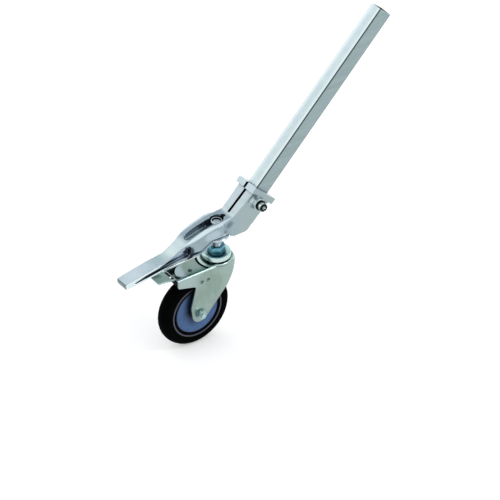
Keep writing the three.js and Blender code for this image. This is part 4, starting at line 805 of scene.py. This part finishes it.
# Painted shade: the groove of the wheel is painted black, and the disc is dark at its rim and where
# the cheek shades it.
grey_plastic = wheel_plastic(
    "grey_plastic", srgb(92, 94, 104), srgb(82, 85, 95),
    Place((("from_axle", 42.9, 42.5),), srgb(3, 7, 16)),
    shade=srgb(4, 7, 14), shade_reach=(16.0, (0.5, 0.9)), shade_share=0.9, rough=(0.5, 0.62),
    bump_mm=0.01, level=0.15)
blue_plastic = wheel_plastic(
    "blue_plastic", srgb(84, 116, 166), srgb(73, 102, 146),
    Place((("from_axle", 36.6, 38.0),), srgb(4, 8, 20)),
    shade=srgb(2, 8, 20), shade_reach=(15.0, (0.6, 0.94)), shade_share=0.97, rough=(0.44, 0.56),
    bump_mm=0.012, level=0.2)

# Material of each CAD node
materials = {
    "leg_tube": bright_tube, "cast_foot": bright_casting, "clamp_screw": screw_steel,
    "clamp_washer": shadow_black_steel, "caster_stem": bright_steel, "stem_ring_nut": ring_nut_steel,
    "stem_washer": washer_steel, "lock_nut": blue_zinc, "upper_race": race_steel,
    "lower_race": shaded_zinc, "upper_ball_ring": ball_steel, "lower_ball_ring": ball_steel,
    "fork": fork_sheet, "pedal_pin": dark_zinc, "leaf_spring": spring_steel,
    "leaf_rivet": shaded_zinc, "axle_bolt": zinc_steel, "axle_nut": zinc_steel,
    "axle_washer_near": zinc_steel, "axle_washer_far": zinc_steel, "axle_sleeve": zinc_steel,
    "brake_pedal": pedal_sheet, "brake_shoe": brake_rubber, "wheel_core": grey_plastic,
    "tyre": tyre_rubber, "cover_near": blue_plastic, "cover_far": blue_plastic,
    "bearing_near": ball_steel, "bearing_far": ball_steel,
}
# Width of the rounded edges in mm, where it isn't the plain one
PLAIN_ROUNDING_MM = 0.12
rounding = {
    "fork": 0.2, "brake_pedal": 0.2, "brake_shoe": 0.5, "leg_tube": 0.1, "cover_near": 0.25,
    "cover_far": 0.25, "wheel_core": 0.2, "tyre": 0.3, "leaf_spring": 0.1,
}
ROUNDED_ANGLE = math.radians(32)
ROUNDING_SEGMENTS = 2
FLAT_ANGLE = math.radians(1.0)
WELD_MM = 0.01
CAST_SKIN_MM = 0.8
CAST_SOFTENING = 0.5
CAST_SOFTENING_TURNS = 6
CAD_SHADING = ("custom_normal", "sharp_edge", "sharp_face")


def soften_casting(node):
    """Fine skin with the soft edges and fillets of a casting"""
    skin = node.modifiers.new("skin", "REMESH")
    skin.mode = "VOXEL"
    skin.voxel_size = CAST_SKIN_MM * MM
    skin.use_smooth_shade = True
    soft = node.modifiers.new("soft", "SMOOTH")
    soft.factor = CAST_SOFTENING
    soft.iterations = CAST_SOFTENING_TURNS


def round_edges(node, width_mm):
    """Flat faces joined, the edges between them rounded"""
    flat = node.modifiers.new("flat", "DECIMATE")
    flat.decimate_type = "DISSOLVE"
    flat.angle_limit = FLAT_ANGLE
    bevel = node.modifiers.new("round", "BEVEL")
    bevel.width = width_mm * MM
    bevel.segments = ROUNDING_SEGMENTS
    bevel.limit_method = "ANGLE"
    bevel.angle_limit = ROUNDED_ANGLE
    bevel.harden_normals = True
    bevel.use_clamp_overlap = False
    bevel.miter_outer = "MITER_ARC"


def dress(name, node):
    """Own material, joined corners, smooth faces and soft edges"""
    mesh = node.data
    mesh.materials.clear()
    mesh.materials.append(materials[name])
    for attribute in CAD_SHADING:
        if attribute in mesh.attributes:
            mesh.attributes.remove(mesh.attributes[attribute])
    weld = node.modifiers.new("weld", "WELD")
    weld.merge_threshold = WELD_MM * MM
    if name == "cast_foot":
        soften_casting(node)
    else:
        round_edges(node, rounding.get(name, PLAIN_ROUNDING_MM))


for name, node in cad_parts.items():
    dress(name, node)


# Pieces with more detail than their solids. Lengths in mm; heights count from the floor under the
# wheel.
STEM_OUTLINE_LOW = ((0.0, 127.1), (10.98, 127.1), (12.0, 128.12), (12.0, 130.5), (8.0, 130.5),
                    (8.0, 135.1), (9.6, 135.1), (9.6, 146.3), (8.0, 146.3))
STEM_OUTLINE_HIGH = ((8.0, 199.9), (6.4, 199.9), (6.4, 205.9), (5.4, 206.9), (1.1, 206.9),
                     (0.0, 204.7))
THREAD_LOW, THREAD_HIGH = 160.0, 184.0
THREAD_RADIUS = 8.0
THREAD_PITCH = 2.0
THREAD_DEPTH = 0.75
THREAD_FLAT = 0.12
THREAD_ROWS_PER_TURN = 8
TURN_STEPS = 48
SHARP_ANGLE = math.radians(35)
# The ball rings: piece, node that it replaces, radius of the circle, radius of a ball, height
BALL_RINGS = (
    ("upper_balls", "upper_ball_ring", 18.2, 2.6, 142.3),
    ("lower_balls", "lower_ball_ring", 13.4, 2.0, 135.8),
)
BALL_COUNT = 12
BALL_FINENESS = 3
CAGE_HALF_WIDTH = 1.2
CAGE_HALF_HEIGHT = 0.5
CAGE_WAVE = 0.4


def on_stem(radius_mm, angle, height_mm):
    """Point round the stem axis, in metres"""
    r = radius_mm * MM
    return (STEM_X + r * math.cos(angle), r * math.sin(angle), FLOOR_Z + height_mm * MM)


def turned_mesh(rows, radius_at, closed=False):
    """Mesh turned about the stem axis from rows of radius and height; radius_at shapes a row"""
    bm = bmesh.new()
    loops = []
    for row in rows:
        radius, height = row
        if radius == 0.0:
            points = [on_stem(0.0, 0.0, height)]
        else:
            turns = [i / TURN_STEPS for i in range(TURN_STEPS)]
            points = [on_stem(radius_at(row, turn), turn * math.tau, height) for turn in turns]
        loops.append([bm.verts.new(point) for point in points])
    pairs = list(zip(loops, loops[1:]))
    if closed:
        pairs.append((loops[-1], loops[0]))
    for low, high in pairs:
        for i in range(TURN_STEPS):
            j = (i + 1) % TURN_STEPS
            if len(low) == 1:
                bm.faces.new((low[0], high[j], high[i]))
            elif len(high) == 1:
                bm.faces.new((low[i], low[j], high[0]))
            else:
                bm.faces.new((low[i], low[j], high[j], high[i]))
    return bm


def add_piece(name, bm, material, body, node):
    """A smooth piece that rides on a body and stands for a CAD node"""
    bmesh.ops.recalc_face_normals(bm, faces=bm.faces)
    mesh = bpy.data.meshes.new(name)
    bm.to_mesh(mesh)
    bm.free()
    mesh.materials.append(material)
    mesh.shade_smooth()
    mesh.set_sharp_from_angle(angle=SHARP_ANGLE)
    piece = new_object(name, mesh)
    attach(piece, body)
    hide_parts(node)


def stem_radius(row, turn):
    """Radius of the stem, with the thread that winds up its middle"""
    radius, height = row
    if not THREAD_LOW <= height <= THREAD_HIGH:
        return radius
    fade = min(height - THREAD_LOW, THREAD_HIGH - height, THREAD_PITCH) / THREAD_PITCH
    flank = abs(2.0 * ((height / THREAD_PITCH - turn) % 1.0) - 1.0)
    cut = min(max((flank - THREAD_FLAT) / (1.0 - 2.0 * THREAD_FLAT), 0.0), 1.0)
    return radius - THREAD_DEPTH * fade * cut


def make_stem():
    steps = round((THREAD_HIGH - THREAD_LOW) / THREAD_PITCH * THREAD_ROWS_PER_TURN)
    rise = (THREAD_HIGH - THREAD_LOW) / steps
    thread = [(THREAD_RADIUS, THREAD_LOW + rise * i) for i in range(steps + 1)]
    bm = turned_mesh([*STEM_OUTLINE_LOW, *thread, *STEM_OUTLINE_HIGH], stem_radius)
    add_piece("threaded_stem", bm, bright_steel, "leg", "caster_stem")


def make_balls(name, node, circle, radius, height):
    """Balls in a thin cage that widens round each ball"""
    def cage_radius(row, turn):
        side = (row[0] - circle) / CAGE_HALF_WIDTH
        return row[0] + side * CAGE_WAVE * math.cos(turn * BALL_COUNT * math.tau)

    inner, outer = circle - CAGE_HALF_WIDTH, circle + CAGE_HALF_WIDTH
    low, high = height - CAGE_HALF_HEIGHT, height + CAGE_HALF_HEIGHT
    bm = turned_mesh(((inner, low), (outer, low), (outer, high), (inner, high)), cage_radius,
                     closed=True)
    for i in range(BALL_COUNT):
        place = Matrix.Translation(on_stem(circle, math.tau * i / BALL_COUNT, height))
        bmesh.ops.create_icosphere(bm, subdivisions=BALL_FINENESS, radius=radius * MM, matrix=place)
    add_piece(name, bm, ball_steel, "ball_rings", node)


make_stem()
for ring in BALL_RINGS:
    make_balls(*ring)


# Stage: pale floor, white world, soft lamps
FLOOR_REACH = 6.0
FLOOR_COLOUR = (0.82, 0.84, 0.85, 1.0)
FLOOR_SEEN_COLOUR = (0.95, 0.95, 0.95, 1.0)
FLOOR_SEEN_GLOW = 0.3
SKY_DIRECTION = Vector((-0.35, 0.0, 0.94)).normalized()
SKY_GREYS = ((0.25, 0.5), (0.55, 0.62), (0.88, 1.0))
SKY_TINT = (1.0, 1.01, 1.02)
SKY_STRENGTH = 0.9
LAMP_AIM = Vector((-0.25, 0.0, -0.25))
# Name, place as seen from what it aims at, size, power
LAMPS = (
    ("key", (0.95, -1.2, 1.35), (0.4, 0.4), 6.0),
    ("back", (-0.3, 1.6, 1.3), (1.4, 0.9), 1.0),
)


def make_floor():
    """Floor that looks nearly white and keeps the object's shadow"""
    mesh = bpy.data.meshes.new("floor")
    low, high = -FLOOR_REACH, FLOOR_REACH
    sides = ((low, low), (high, low), (high, high), (low, high))
    mesh.from_pydata([(x, y, FLOOR_Z) for x, y in sides], [], [(0, 1, 2, 3)])
    floor = new_object("floor", mesh)
    mat = bpy.data.materials.new("floor")
    mat.use_nodes = True
    g = Graph(mat.node_tree, "ShaderNodeOutputMaterial")
    plain = g.output("ShaderNodeBsdfDiffuse", Color=FLOOR_COLOUR)
    pale = g.output("ShaderNodeBsdfDiffuse", Color=FLOOR_SEEN_COLOUR)
    glow = g.output("ShaderNodeEmission", Strength=FLOOR_SEEN_GLOW)
    lit = g.join("ShaderNodeAddShader", pale, glow)
    g.link(g.join("ShaderNodeMixShader", g.seen(), plain, lit), g.out.inputs["Surface"])
    mesh.materials.append(mat)


def make_world():
    """Sky that is lighter from above, seen as plain white"""
    world = bpy.data.worlds.new("world")
    bpy.context.scene.world = world
    world.use_nodes = True
    g = Graph(world.node_tree, "ShaderNodeOutputWorld")
    coord = g.add("ShaderNodeTexCoord")
    height = g.spread(g.along(coord.outputs["Generated"], SKY_DIRECTION), -1.0, 1.0, 0.0, 1.0)
    tones = [(place, tuple(grey * tint for tint in SKY_TINT)) for place, grey in SKY_GREYS]
    sky = g.ramp(height, tones)
    soft = g.output("ShaderNodeBackground", Color=sky, Strength=SKY_STRENGTH)
    white = g.output("ShaderNodeBackground", Color=(*WHITE, 1.0), Strength=1.0)
    g.link(g.join("ShaderNodeMixShader", g.seen(), soft, white), g.out.inputs["Surface"])


def make_lamp(name, offset, size, power):
    data = bpy.data.lights.new(name, "AREA")
    data.shape = "RECTANGLE"
    data.size, data.size_y = size
    data.energy = power
    lamp = new_object(name, data)
    lamp.location = LAMP_AIM + Vector(offset)
    lamp.rotation_mode = "QUATERNION"
    lamp.rotation_quaternion = (-Vector(offset)).to_track_quat("-Z", "Y")


make_floor()
make_world()
for lamp in LAMPS:
    make_lamp(*lamp)

scene = bpy.context.scene
scene.view_settings.view_transform = "Standard"
